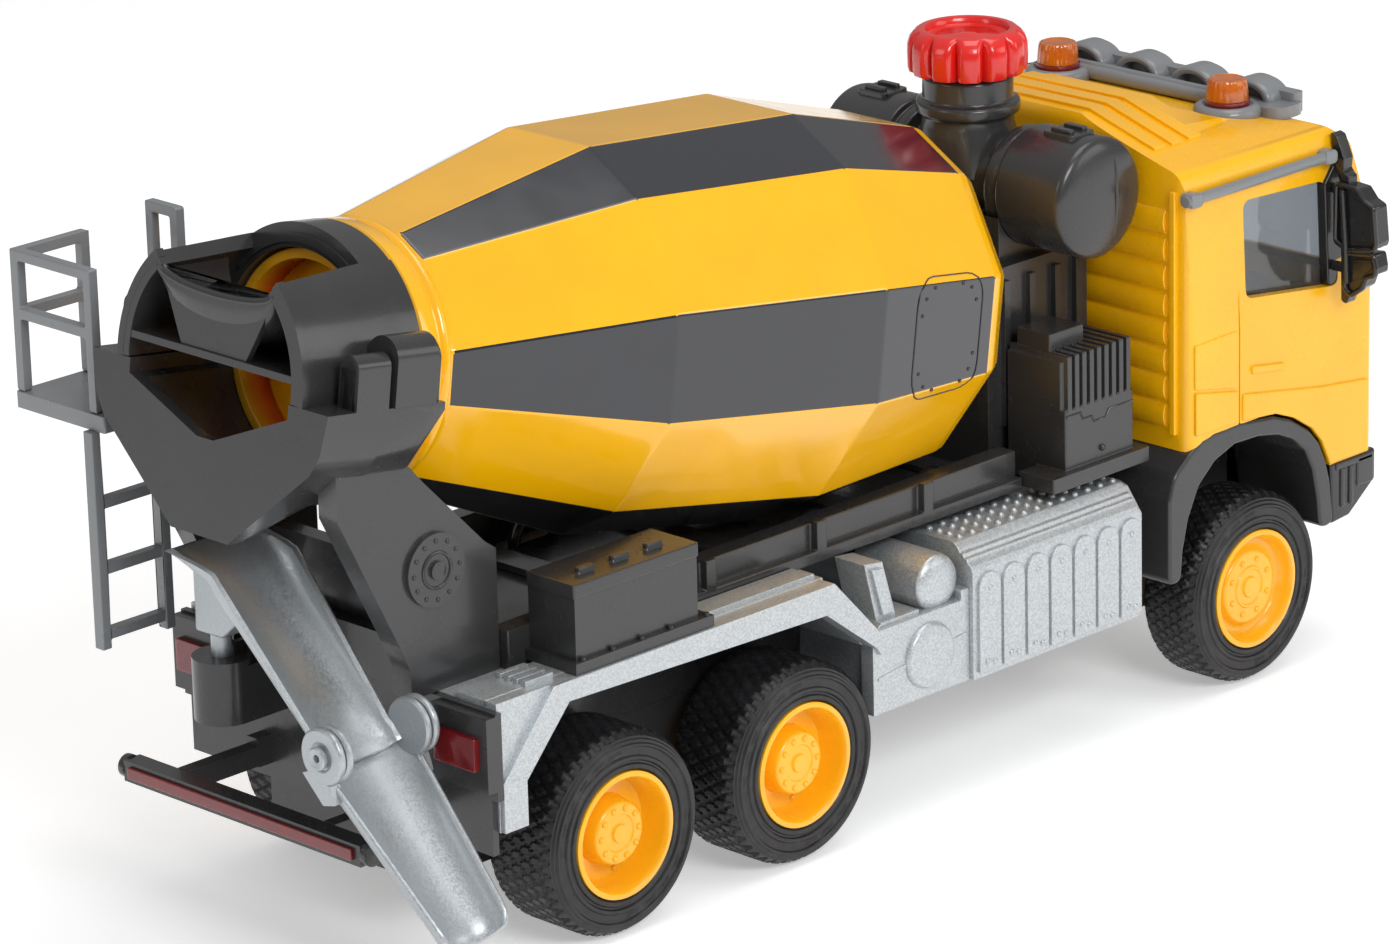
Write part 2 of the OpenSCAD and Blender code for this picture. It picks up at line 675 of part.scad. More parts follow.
module front_lamps() color("#e8eef2") place() {
    both_sides() block([174.25, 23, 34], [174.9, 32, 41]);
    for (y = lamp_ys) rod_x([166.4, y, lamp_z], 1.2, 1.7);
}

module bumper() color(charcoal) place() side_slab(-side_y, side_y)
    polygon([[163.5, 22.2], [168, 22.6], [front_end - 0.6, 27.4], [front_end - 0.6, 32.6], [162.9, 32.6]]);

module arch_outline() polygon([
    [122.6, 22.2], [123.4, 40], [133, 45.3], [149.5, 45.3], [157.6, 42.6], [161.4, 37.6], [162.8, 32], [163.4, 22.2],
    [160.6, 22.2], [159.2, 31], [155.6, 37.8], [149.4, 41.4], [139.6, 42], [131, 38], [126.4, 31], [125, 22.2]
]);

module wheel_arches() color(charcoal) place() {
    both_sides() side_slab(plate_half + 0.2, side_y + 0.2) arch_outline();
    block([122.6, -plate_half - 0.2, 26], [157.6, plate_half + 0.2, 42]);
}

module mirrors() color("#2e2e30") place() both_sides() {
    block([160.4, 35, 62], [162, 37, 84]);
    block([160.4, 37, 66.2], [164.6, 44.4, 80]);
    block([160.4, 37, 61], [164, 44.6, 65.2]);
    block([160.4, 33.7, 82.4], [162, 35, 84]);
}

module drip_bars() color("#8b8e92") place() difference() {
    both_sides() {
        rod_x([126.6, side_y - 0.1, 85.4], 36, 0.9);
        for (x = [127.6, 160.4]) block([x, side_y - 2, 84.8], [x + 1.2, side_y, 86]);
    }
    cab_solid(0);
}

lamp_ys = [-18, -6, 6, 18];
lamp_z = 92.9;
pad_z = 92.1;

module light_bar() color("#94979b") place() {
    difference() {
        union() {
            block([159.4, -26, 88], [165, 26, 94.2]);
            both_sides() rod_z([155.7, 18.4, 88], pad_z + 1 - 88, 5);
        }
        cab_solid(0);
    }
    for (y = lamp_ys) rod_x([164.6, y, lamp_z], 1.8, 2.6);
}

module beacons() color("#f07a10") place() both_sides() {
    rod_z([155.7, 18.4, pad_z + 1], 3.2, 3.6);
    rod_z([155.7, 18.4, pad_z + 4.2], 1, 2.6);
}

/* ---- chute ---- */

// Frame with X along the chute to its end, Z out of its open side.
module chute_frame(slope) translate([chute_x, hinge_y, hinge_z])
    multmatrix([
        [0, 1, 0, 0],
        [-cos(slope), 0, -sin(slope), 0],
        [-sin(slope), 0, cos(slope), 0],
        [0, 0, 0, 1]
    ]) children();

// Half oval slice of a trough: half width, depth and the height of its rim.
module trough_slice(a, half, depth, rim) rear_slab(a, a + 0.1) polygon([
    for (i = [0:16]) [-half * cos(i * 180 / 16), rim - depth * sin(i * 180 / 16)]
]);

module trough(a0, half0, depth0, a1, half1, depth1, rim) hull() {
    trough_slice(a0, half0, depth0, rim);
    trough_slice(a1 - 0.1, half1, depth1, rim);
}

upper_rim = -2.4;
lower_rim = -1.9;
mouth_a = -40;
tip_a = 32.4;

module chute_ears(inner, width, r) for (side = [-1, 1])
    translate([0, side * inner, 0]) rotate([side * -90, 0, 0]) cylinder(h = width, r = r);

module chute_upper() color(silver) place() difference() {
    union() {
        chute_frame(upper_slope) trough(mouth_a, chute_w, 8.2, 0.8, 7.6, 3.4, upper_rim);
        chute_frame(upper_slope) chute_ears(7, 1.3, 4.4);
        rear_slab(pivot_x - 2.6, pivot_x + 2.6)
            polygon([[9.4, 47], [15.6, 47], [15.6, 58], [10.5, 63], [3, 56.5], [3, 52]]);
    }
    chute_frame(upper_slope) trough(mouth_a - 1, chute_w - 1.3, 7, 2, 6.4, 2.3, upper_rim + 0.01);
    chute_frame(upper_slope) rod_y([0, -12, 0], 24, pin_r);
    chute_frame(upper_slope) block([-5, -6.4, -3], [5, 6.4, 6]);
    chute_frame(upper_slope) side_slab(-12, 12) polygon([[-32, -2.4], [-42, -10.4], [-48, -10.4], [-48, 4], [-32, 4]]);
    rod_z([pivot_x, pivot_y, 46], 7, post_r);
}

module chute_lower() color(silver) place() chute_frame(lower_slope) difference() {
    union() {
        trough(-1, 9.2, 5.6, tip_a, 6.6, 5.2, lower_rim);
        chute_ears(8.45, 1.4, 4.4);
        both_sides() {
            block([-1, 6.6, -5.7], [5.4, 8.6, -4.5]);
            block([-1, 8.45, -5.7], [5.4, 9.85, -3.4]);
        }
    }
    trough(-2, 8, 4.7, tip_a + 1, 5.4, 4.1, lower_rim + 0.01);
    rod_y([0, -12, 0], 24, pin_r + run);
    block([-6, -8.4, -4.5], [5.4, 8.4, 6]);
}

module chute_pins() color(silver) place() translate([chute_x, hinge_y, hinge_z])
    for (side = [-1, 1]) {
        translate([6.8 * side, 0, 0]) rotate([0, 90 * side, 0]) cylinder(h = 3.4, r = pin_r);
        translate([10 * side, 0, 0]) rotate([0, 90 * side, 0]) cylinder(h = 0.8, r = 2);
    }

module chute_post() color(silver) place() rod_z([pivot_x, pivot_y, 34.65], 18.35, post_r);

base_plate();
chassis_frame();
subframe();
fender_right();
fender_left();
side_tank_right();
side_tank_left();
rear_panel();
tail_lights();
underrun_bar();
underrun_stripe();
toolbox();
toolbox_lid();
cooler_box();
pedestal();
cradle();
hopper();
ladder();
platform();
platform_rails();
cross_tank();
gear_housing();
cab_shell();
cab_glazing();
cab_interior();
steering_wheel();
grille();
front_lamps();
bumper();
wheel_arches();
mirrors();
drip_bars();
light_bar();
beacons();
hoses();
base_screws();
tyre_rear_right();
tyre_rear_left();
tyre_middle_right();
tyre_middle_left();
tyre_front_right();
tyre_front_left();
hub_rear_right();
hub_rear_left();
hub_middle_right();
hub_middle_left();
hub_front_right();
hub_front_left();
axle_rear();
axle_middle();
axle_front();
drum_shell();
drum_mouth();
drum_journal();
knob();
knob_shaft();
chute_post();
chute_upper();
chute_lower();
chute_pins();
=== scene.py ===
"""Looks for the toy cement mixer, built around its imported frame."""

import json
import math

import bmesh
import bpy
from mathutils import Matrix, Vector


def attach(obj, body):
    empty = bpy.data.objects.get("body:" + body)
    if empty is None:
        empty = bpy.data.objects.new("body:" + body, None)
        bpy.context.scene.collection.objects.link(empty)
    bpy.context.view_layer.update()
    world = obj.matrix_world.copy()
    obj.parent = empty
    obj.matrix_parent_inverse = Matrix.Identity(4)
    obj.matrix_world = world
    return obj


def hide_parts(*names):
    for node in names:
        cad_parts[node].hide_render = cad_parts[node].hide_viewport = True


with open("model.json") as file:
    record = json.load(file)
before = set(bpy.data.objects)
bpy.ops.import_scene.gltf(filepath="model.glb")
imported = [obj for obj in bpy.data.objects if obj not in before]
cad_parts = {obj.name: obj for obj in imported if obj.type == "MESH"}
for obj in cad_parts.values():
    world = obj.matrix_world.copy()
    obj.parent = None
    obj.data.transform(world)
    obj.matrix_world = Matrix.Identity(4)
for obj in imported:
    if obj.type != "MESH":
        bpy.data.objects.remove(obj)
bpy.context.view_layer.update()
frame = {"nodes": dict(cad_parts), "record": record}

# ---------------------------------------------------------------- frames

MM = 0.001
MIDDLE_X = 62.1
JOINTS = {j["name"]: j for j in frame["record"]["behaviour"]["joints"]}

# Truck frame: millimetres from the rear axle's foot, X to the front.
TRUCK = Matrix.Scale(MM, 4) @ Matrix.Translation((-MIDDLE_X, 0, 0))


def frame_at(origin, x_axis, y_axis):
    """Millimetre frame at an origin in metres, from two of its axes."""
    x_axis, y_axis = Vector(x_axis).normalized(), Vector(y_axis).normalized()
    turn = Matrix((x_axis, y_axis, x_axis.cross(y_axis))).transposed().to_4x4()
    return Matrix.Translation(origin) @ turn @ Matrix.Scale(MM, 4)


DRUM = frame_at(JOINTS["drum_spin"]["pos_m"], JOINTS["drum_spin"]["axis"], (0, 1, 0))
HINGE = Vector(JOINTS["chute_fold"]["pos_m"])
UPPER_SLOPE = 47.3
LOWER_SLOPE = 44


def chute_frame(slope):
    """X down the chute, Y to the truck's front, Z out of the open side."""
    down = Vector((0, -math.cos(math.radians(slope)), -math.sin(math.radians(slope))))
    return frame_at(HINGE, down, (1, 0, 0))


# ---------------------------------------------------------------- camera, light and floor


# Azimuth, elevation and roll in degrees; place in metres; lens in millimetres.
CAMERA_TURN = (-44.66, 18.47, -1.49)
CAMERA_PLACE = (-0.67024, -0.66658, 0.3654)
CAMERA_LENS = 164.67


def make_camera():
    azimuth, elevation, roll = (math.radians(v) for v in CAMERA_TURN)
    back = Vector((
        math.sin(azimuth) * math.cos(elevation),
        -math.cos(azimuth) * math.cos(elevation),
        math.sin(elevation),
    ))
    right = Vector((math.cos(azimuth), math.sin(azimuth), 0))
    up = back.cross(right)
    local_x = math.cos(roll) * right + math.sin(roll) * up
    local_y = -math.sin(roll) * right + math.cos(roll) * up
    camera = bpy.data.objects.new("camera", bpy.data.cameras.new("camera"))
    turn = Matrix((local_x, local_y, back)).transposed().to_4x4()
    camera.matrix_world = Matrix.Translation(CAMERA_PLACE) @ turn
    camera.data.sensor_width = 36
    camera.data.lens = CAMERA_LENS
    camera.data.clip_start = 0.05
    camera.data.clip_end = 20
    bpy.context.collection.objects.link(camera)
    bpy.context.scene.camera = camera


def add_area_light(name, place, target, size, power):
    light = bpy.data.lights.new(name, "AREA")
    light.shape = "RECTANGLE"
    light.size, light.size_y = size
    light.energy = power
    lamp = bpy.data.objects.new(name, light)
    place, target = Vector(place), Vector(target)
    turn = (target - place).to_track_quat("-Z", "Y").to_matrix().to_4x4()
    lamp.matrix_world = Matrix.Translation(place) @ turn
    bpy.context.collection.objects.link(lamp)


def make_world():
    """White behind everything; what lights the toy is bright above and dim at the horizon."""
    world = bpy.data.worlds.new("studio")
    world.use_nodes = True
    nodes, links = world.node_tree.nodes, world.node_tree.links
    backdrop = nodes["Background"]
    backdrop.inputs["Color"].default_value = (1, 1, 1, 1)
    surroundings = nodes.new("ShaderNodeBackground")
    place = nodes.new("ShaderNodeTexCoord")
    parts = nodes.new("ShaderNodeSeparateXYZ")
    links.new(place.outputs["Generated"], parts.inputs["Vector"])
    height = nodes.new("ShaderNodeMapRange")
    links.new(parts.outputs["Z"], height.inputs["Value"])
    for key, number in (("From Min", 0.0), ("From Max", 0.9), ("To Min", 0.2), ("To Max", 0.55)):
        height.inputs[key].default_value = number
    links.new(height.outputs["Result"], surroundings.inputs["Strength"])
    surroundings.inputs["Color"].default_value = (1, 1, 1, 1)
    rays = nodes.new("ShaderNodeLightPath")
    choice = nodes.new("ShaderNodeMixShader")
    links.new(rays.outputs["Is Camera Ray"], choice.inputs["Fac"])
    links.new(surroundings.outputs["Background"], choice.inputs[1])
    links.new(backdrop.outputs["Background"], choice.inputs[2])
    links.new(choice.outputs["Shader"], nodes["World Output"].inputs["Surface"])
    return world


def white_table():
    nodes = Nodes("floor")
    cloudy = nodes.remap(nodes.noise(30), 0.0, 1.0)
    nodes.set(Base_Color=nodes.mix(cloudy, (0.93, 0.93, 0.93), (0.9, 0.9, 0.9)))
    nodes.set(Roughness=0.7, Emission_Color=(1, 1, 1, 1), Emission_Strength=0.36)
    return nodes.material


def make_studio():
    world = make_world()
    scene = bpy.context.scene
    scene.world = world
    scene.view_settings.view_transform = "Standard"
    centre = (0, 0, 0.05)
    add_area_light("key_light", (-0.32, -0.95, 0.72), centre, (0.5, 0.35), 6.0)
    add_area_light("fill_light", (0.6, -0.85, 0.4), centre, (0.6, 0.4), 1.5)
    add_area_light("top_light", (0.15, -0.15, 0.95), centre, (0.6, 0.5), 2.4)
    add_area_light("rear_light", (-1.05, 0.25, 0.5), centre, (0.3, 0.5), 1.1)
    floor = bpy.data.meshes.new("floor")
    half, height = 3, -0.0002
    floor.from_pydata(
        [(-half, -half, height), (half, -half, height), (half, half, height), (-half, half, height)],
        [], [(0, 1, 2, 3)],
    )
    floor_object = bpy.data.objects.new("floor", floor)
    bpy.context.collection.objects.link(floor_object)
    floor.materials.append(white_table())


# ---------------------------------------------------------------- materials


class Nodes:
    """Short calls for building one material's node tree."""

    def __init__(self, name):
        self.material = bpy.data.materials.new(name)
        self.material.use_nodes = True
        self.tree = self.material.node_tree
        self.surface = self.tree.nodes["Principled BSDF"]
        self.place = self.add("ShaderNodeTexCoord").outputs["Object"]

    def add(self, kind, **values):
        node = self.tree.nodes.new(kind)
        for key, value in values.items():
            setattr(node, key, value)
        return node

    def join(self, source, target):
        self.tree.links.new(source, target)

    def set(self, **values):
        """Feeds inputs of the surface, from another node or with a plain value."""
        for key, value in values.items():
            target = self.surface.inputs[key.replace("_", " ")]
            if isinstance(value, bpy.types.NodeSocket):
                self.join(value, target)
            else:
                target.default_value = value

    def noise(self, scale, detail=3, rough=0.55):
        node = self.add("ShaderNodeTexNoise")
        node.inputs["Scale"].default_value = scale
        node.inputs["Detail"].default_value = detail
        node.inputs["Roughness"].default_value = rough
        self.join(self.place, node.inputs["Vector"])
        return node.outputs["Fac"]

    def remap(self, value, low, high, start=0.3, end=0.7):
        node = self.add("ShaderNodeMapRange")
        self.join(value, node.inputs["Value"])
        for key, number in (("From Min", start), ("From Max", end), ("To Min", low), ("To Max", high)):
            node.inputs[key].default_value = number
        return node.outputs["Result"]

    def mix(self, factor, first, second):
        node = self.add("ShaderNodeMix", data_type="RGBA")
        self.join(factor, node.inputs["Factor"])
        for key, value in ((6, first), (7, second)):
            if isinstance(value, tuple):
                node.inputs[key].default_value = (*value, 1)
            else:
                self.join(value, node.inputs[key])
        return node.outputs[2]

    def bump(self, height, distance, below=None):
        node = self.add("ShaderNodeBump")
        node.inputs["Strength"].default_value = 1.0
        node.inputs["Distance"].default_value = distance
        self.join(height, node.inputs["Height"])
        if below:
            self.join(below, node.inputs["Normal"])
        self.join(node.outputs["Normal"], self.surface.inputs["Normal"])
        return node.outputs["Normal"]


def moulded(name, colour, rough, grain, coat):
    """Moulded plastic: cloudy tone, fine grain, uneven gloss."""
    nodes = Nodes(name)
    cloudy = nodes.remap(nodes.noise(55, 4), 0.0, 1.0)
    body = nodes.mix(cloudy, tuple(0.94 * c for c in colour), tuple(min(1.0, 1.05 * c) for c in colour))
    gloss = nodes.remap(nodes.noise(160, 4), rough - 0.04, rough + 0.05)
    nodes.set(Base_Color=body, Roughness=gloss, Coat_Weight=coat, Coat_Roughness=0.08)
    fine = nodes.bump(nodes.noise(2600, 2), 0.00004 * grain)
    nodes.bump(nodes.noise(240, 2), 0.00008 * grain, below=fine)
    return nodes.material


def metallic_paint(name, colour, rough, flake_size, sparkle):
    """Silver paint: fine bright and dark flakes over a soft metal sheen."""
    nodes = Nodes(name)
    cells = nodes.add("ShaderNodeTexVoronoi")
    cells.inputs["Scale"].default_value = 1 / flake_size
    nodes.join(nodes.place, cells.inputs["Vector"])
    grey = nodes.add("ShaderNodeRGBToBW")
    nodes.join(cells.outputs["Color"], grey.inputs["Color"])
    flakes = nodes.remap(grey.outputs["Val"], 0.0, 1.0, 0.25, 0.75)
    dark = tuple(c * (1 - sparkle) for c in colour)
    light = tuple(min(1.0, c * (1 + sparkle)) for c in colour)
    nodes.set(Base_Color=nodes.mix(flakes, dark, light))
    nodes.set(Metallic=0.6)
    nodes.set(Roughness=nodes.remap(flakes, rough - 0.06, rough + 0.08, 0.0, 1.0))
    grain = nodes.bump(grey.outputs["Val"], 0.00002 * sparkle / 0.2)
    nodes.bump(nodes.noise(330, 3), 0.00005, below=grain)
    return nodes.material


def brushed(name, colour, rough):
    nodes = Nodes(name)
    lines = nodes.noise(900, 5)
    nodes.set(Base_Color=nodes.mix(nodes.remap(lines, 0.0, 1.0), tuple(0.85 * c for c in colour), colour))
    nodes.set(Metallic=1.0)
    nodes.set(Roughness=nodes.remap(lines, rough - 0.06, rough + 0.08))
    nodes.bump(lines, 0.00002)
    return nodes.material


def rubber(name, colour):
    nodes = Nodes(name)
    dust = nodes.remap(nodes.noise(220, 5, 0.65), 0.0, 1.0, 0.5, 0.75)
    nodes.set(Base_Color=nodes.mix(dust, colour, tuple(2.1 * c + 0.004 for c in colour)))
    nodes.set(Roughness=nodes.remap(nodes.noise(500, 3), 0.34, 0.5))
    fine = nodes.bump(nodes.noise(3200, 2), 0.00003)
    nodes.bump(nodes.noise(420, 3), 0.00006, below=fine)
    return nodes.material


def lens(name, colour, rough=0.08):
    """Tinted clear plastic with small ribs."""
    nodes = Nodes(name)
    cloudy = nodes.remap(nodes.noise(300, 3), 0.0, 1.0)
    nodes.set(Base_Color=nodes.mix(cloudy, colour, tuple(0.75 * c for c in colour)))
    nodes.set(Roughness=rough, IOR=1.49, Coat_Weight=0.6, Coat_Roughness=0.05)
    nodes.set(Transmission_Weight=0.35, Subsurface_Weight=0.15)
    nodes.bump(nodes.noise(900, 2), 0.00003)
    return nodes.material


def window_pane(name):
    nodes = Nodes(name)
    haze = nodes.remap(nodes.noise(60, 3), 0.01, 0.04)
    nodes.set(Base_Color=(0.5, 0.53, 0.56, 1), IOR=1.45, Transmission_Weight=0.92, Roughness=haze)
    nodes.bump(nodes.noise(150, 2), 0.00002)
    return nodes.material


def mouth_with_painted_shade(name):
    """Orange-yellow at the ring's face, with painted shade turning it red-orange deeper inside."""
    nodes = Nodes(name)
    axis = Vector(JOINTS["drum_spin"]["axis"])
    along = nodes.add("ShaderNodeVectorMath", operation="DOT_PRODUCT")
    nodes.join(nodes.place, along.inputs[0])
    along.inputs[1].default_value = axis
    start = axis.dot(Vector(JOINTS["drum_spin"]["pos_m"])) - 12.6 * MM
    # Painted shade: the colour darkens from the ring's face to red-orange along the axis, deeper into the
    # drum.
    depth = nodes.remap(along.outputs["Value"], 0.0, 1.0, start + 0.4 * MM, start + 3.5 * MM)
    painted_deep_shade = nodes.mix(nodes.remap(nodes.noise(90, 2), 0.0, 1.0), (0.72, 0.05, 0.008), (0.9, 0.17, 0.01))
    nodes.set(Base_Color=nodes.mix(depth, (0.93, 0.4, 0.012), painted_deep_shade))
    nodes.set(Roughness=nodes.remap(nodes.noise(200), 0.25, 0.36))
    nodes.set(Subsurface_Weight=0.2)
    nodes.bump(nodes.noise(1500, 2), 0.00002)
    return nodes.material


# Colour, roughness, grain and clear coat of the moulded plastics and the glossy paints.
MOULDED = {
    "charcoal_plastic": ((0.031, 0.031, 0.032), 0.25, 0.3, 0.2),
    "grey_plastic": ((0.2, 0.21, 0.22), 0.3, 0.5, 0.2),
    "dark_plastic": ((0.013, 0.013, 0.014), 0.25, 0.5, 0.3),
    "yellow_paint": ((0.93, 0.465, 0.002), 0.14, 0.1, 0.6),
    "cab_paint": ((0.93, 0.465, 0.002), 0.26, 0.25, 0.3),
    "stripe_paint": ((0.016, 0.017, 0.023), 0.15, 0.1, 0.5),
    "yellow_plastic": ((0.93, 0.46, 0.008), 0.28, 0.3, 0.4),
    "red_plastic": ((0.72, 0.012, 0.008), 0.22, 0.15, 0.5),
    "white_plastic": ((0.8, 0.8, 0.78), 0.35, 0.25, 0.0),
}
MATERIALS = {name: moulded(name, *values) for name, values in MOULDED.items()}
MATERIALS |= {
    "silver_metal": metallic_paint("silver_metal", (0.5, 0.53, 0.55), 0.36, 0.00024, 0.14),
    "smooth_silver": metallic_paint("smooth_silver", (0.43, 0.46, 0.48), 0.34, 0.00022, 0.06),
    # The drum mouth's plastic, with painted shade deeper inside the drum.
    "orange_plastic": mouth_with_painted_shade("orange_plastic"),
    "tyre": rubber("tyre", (0.008, 0.008, 0.009)),
    "steel": brushed("steel", (0.62, 0.62, 0.61), 0.28),
    "red_lens": lens("red_lens", (0.32, 0.008, 0.012), 0.2),
    "orange_lens": lens("orange_lens", (0.95, 0.2, 0.005)),
    "lamp_lens": lens("lamp_lens", (0.85, 0.87, 0.9)),
    "window": window_pane("window"),
}

# ---------------------------------------------------------------- carried-over pieces

WELD = 1e-6


def soften(piece, width, segments, angle=30):
    """Rounds the sharp edges of a piece by a small bevel, in millimetres."""
    weld = piece.modifiers.new("weld", "WELD")
    weld.merge_threshold = WELD
    bevel = piece.modifiers.new("bevel", "BEVEL")
    bevel.limit_method = "ANGLE"
    bevel.angle_limit = math.radians(angle)
    bevel.width = width * MM
    bevel.segments = segments
    bevel.harden_normals = False
    weighted = piece.modifiers.new("weighted", "WEIGHTED_NORMAL")
    weighted.keep_sharp = False


def dress(names, material, bevel, segments=2):
    """Gives carried-over nodes their material and softened edges."""
    for name in names.split():
        piece = frame["nodes"][name]
        piece.data.materials.clear()
        piece.data.materials.append(MATERIALS[material])
        soften(piece, bevel, segments)


# ---------------------------------------------------------------- mesh building


BOTH = (-1, 1)


class Shape:
    """Collects closed shells, drawn in millimetres, into one piece.

    Each shell is added once for every side in sides: 1 keeps its Y, and -1 mirrors it.
    """

    def __init__(self, frame_matrix=TRUCK, sides=(1,)):
        self.mesh = bmesh.new()
        self.matrix = frame_matrix
        self.sides = sides

    def add(self, points, faces):
        for side in self.sides:
            verts = [self.mesh.verts.new(self.matrix @ Vector((x, side * y, z))) for x, y, z in points]
            for face in faces:
                self.mesh.faces.new([verts[i] for i in face]).smooth = True

    def grid(self, rings, closed=False):
        """Joins rings of equal length; closed joins the last ring to the first."""
        size, count = len(rings[0]), len(rings)
        points = [p for ring in rings for p in ring]
        faces = []
        for i in range(count if closed else count - 1):
            low, high = i * size, (i + 1) % count * size
            for j in range(size):
                k = (j + 1) % size
                faces.append((low + j, low + k, high + k, high + j))
        if not closed:
            faces.append(tuple(range(size))[::-1])
            faces.append(tuple(range((count - 1) * size, count * size)))
        self.add(points, faces)

    def box(self, low, high):
        (x0, y0, z0), (x1, y1, z1) = low, high
        self.grid([
            [(x0, y0, z0), (x1, y0, z0), (x1, y1, z0), (x0, y1, z0)],
            [(x0, y0, z1), (x1, y0, z1), (x1, y1, z1), (x0, y1, z1)],
        ])

    def prism(self, outline, low, high, along):
        """An outline of two coordinates, given thickness along x, y or z."""
        place = {
            "x": lambda p, t: (t, p[0], p[1]),
            "y": lambda p, t: (p[0], t, p[1]),
            "z": lambda p, t: (p[0], p[1], t),
        }[along]
        self.grid([[place(p, t) for p in outline] for t in (low, high)])

    def lathe(self, profile, centre, along, steps, relief=None, closed=False):
        """Turns a profile of (radius, distance) about an axis through the centre.

        relief changes a point's radius and distance from its step and its place in the profile.
        """
        place = {
            "x": lambda r, c, s, t: (t, r * c, r * s),
            "y": lambda r, c, s, t: (r * s, t, r * c),
            "z": lambda r, c, s, t: (r * c, r * s, t),
        }[along]
        rings = []
        for j, (radius, distance) in enumerate(profile):
            ring = []
            for i, angle in enumerate(turns(steps)):
                r, t = relief(i, j, radius, distance) if relief else (radius, distance)
                point = place(r, math.cos(angle), math.sin(angle), t)
                ring.append(Vector(point) + Vector(centre))
            rings.append(ring)
        self.grid(rings, closed)

    def dome(self, centre, radius, height, along, steps, sign=1):
        """A round button that stands on a face."""
        rise = [(radius, -0.2 * sign)] + [
            (radius * math.cos(a), sign * height * math.sin(a))
            for a in (math.radians(v) for v in (0, 30, 55, 75, 86))
        ]
        self.lathe(rise, centre, along, steps)

    def tube(self, path, radius, steps=10, closed=False):
        """A round rod along a path."""
        points = [Vector(p) for p in path]
        rings = []
        normal = None
        for i, point in enumerate(points):
            if closed:
                ahead = points[(i + 1) % len(points)] - points[i - 1]
            else:
                ahead = points[min(i + 1, len(points) - 1)] - points[max(i - 1, 0)]
            ahead.normalize()
            if normal is None:
                normal = ahead.orthogonal()
            normal = (normal - ahead * normal.dot(ahead)).normalized()
            side = ahead.cross(normal)
            rings.append([
                point + radius * (math.cos(a) * normal + math.sin(a) * side)
                for a in turns(steps)
            ])
        self.grid(rings, closed)

    def finish(self, name, body, slot, *materials, bevel=0.0, segments=2, angle=35, replaces=()):
        bmesh.ops.recalc_face_normals(self.mesh, faces=self.mesh.faces)
        data = bpy.data.meshes.new(name)
        self.mesh.to_mesh(data)
        self.mesh.free()
        for key in materials or (slot,):
            data.materials.append(MATERIALS[key])
        piece = bpy.data.objects.new(name, data)
        bpy.context.collection.objects.link(piece)
        data.set_sharp_from_angle(angle=math.radians(40))
        if bevel:
            soften(piece, bevel, segments, angle)
        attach(piece, body)
        if replaces:
            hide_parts(*replaces)
        return piece


def turns(count):
    """Equal steps once round a circle."""
    return [2 * math.pi * i / count for i in range(count)]


def rectangle(x0, y0, x1, y1):
    return [(x0, y0), (x1, y0), (x1, y1), (x0, y1)]


def arc(centre, radius, start, end, count):
    """Points on a circle, angles in degrees."""
    return [
        (centre[0] + radius * math.cos(a), centre[1] + radius * math.sin(a))
        for a in (math.radians(start + (end - start) * i / (count - 1)) for i in range(count))
    ]


def rounded(outline, radius, steps=6):
    """The outline with its corners turned into arcs; radius is one number or one for each corner."""
    points = []
    count = len(outline)
    for i, corner in enumerate(outline):
        corner = Vector(corner)
        before, after = Vector(outline[i - 1]) - corner, Vector(outline[(i + 1) % count]) - corner
        wanted = radius[i] if isinstance(radius, (list, tuple)) else radius
        opening = before.angle(after)
        reach = wanted / math.tan(opening / 2) if wanted else 0
        reach = min(reach, 0.48 * before.length, 0.48 * after.length)
        if reach < 0.02:
            points.append(tuple(corner))
            continue
        start, end = corner + before.normalized() * reach, corner + after.normalized() * reach
        for step in range(steps + 1):
            t = step / steps
            points.append(tuple((1 - t) ** 2 * start + 2 * t * (1 - t) * corner + t * t * end))
    return points


def mirrored(outline):
    """Half an outline, from the middle outwards, turned into a whole one."""
    return [(-y, z) for y, z in reversed(outline)] + list(outline)


def carve(base, steps):
    """Cuts shapes out of a base shape, or keeps what they share with it, one after another."""
    def solid(shape):
        bmesh.ops.recalc_face_normals(shape.mesh, faces=shape.mesh.faces)
        data = bpy.data.meshes.new("solid")
        shape.mesh.to_mesh(data)
        shape.mesh.free()
        thing = bpy.data.objects.new("solid", data)
        bpy.context.collection.objects.link(thing)
        return thing

    things = [solid(base)]
    for action, shape in steps:
        thing = solid(shape)
        things.append(thing)
        modifier = things[0].modifiers.new(action, "BOOLEAN")
        modifier.operation = action
        modifier.solver = "EXACT"
        modifier.object = thing
    graph = bpy.context.evaluated_depsgraph_get()
    result = Shape()
    result.mesh.from_mesh(bpy.data.meshes.new_from_object(things[0].evaluated_get(graph)))
    for thing in things:
        bpy.data.objects.remove(thing)
    return result


# ---------------------------------------------------------------- wheels

SIDE_NAMES = {"right": -1, "left": 1}
SIDE_Y = 34.6
PLATE_HALF = 17
WHEEL_Z = 16
# Distance from the rear axle, and width of the tyre.
WHEELS = {
    "rear": (0.0, 14.6),
    "middle": (38.3, 14.6),
    "front": (144.3, 12.0),
}
TYRE_STEPS = 264
TREAD_PITCH = 6
TREAD_DEPTH = 0.55


def tyre_profile(width):
    """Sidewall rings, then tread rows; returns the profile and where the tread starts."""
    wall = [
        (9.9, 3), (9.9, 0.6), (10.3, 0.15), (10.9, 0.12), (11.1, 0.4), (11.4, 0.42), (11.6, 0.12),
        (12.1, 0.1), (12.3, 0.34), (12.9, 0.34), (13.5, 0.34), (13.7, 0.05), (14.0, 0.05), (14.2, 0.36),
        (14.6, 0.4), (14.8, 0.7), (15.1, 0.75),
    ]
    rows = 20
    tread = []
    for j in range(rows):
        y = 1.0 + (width - 2.0) * j / (rows - 1)
        edge = min(y, width - y)
        tread.append((16 - 0.75 * max(0.0, (2.4 - edge) / 1.4) ** 1.6, y))
    inner = [(14.2, width - 0.1), (11, width - 0.05), (9.9, width - 0.3)]
    return wall + tread + inner, len(wall), len(wall) + rows


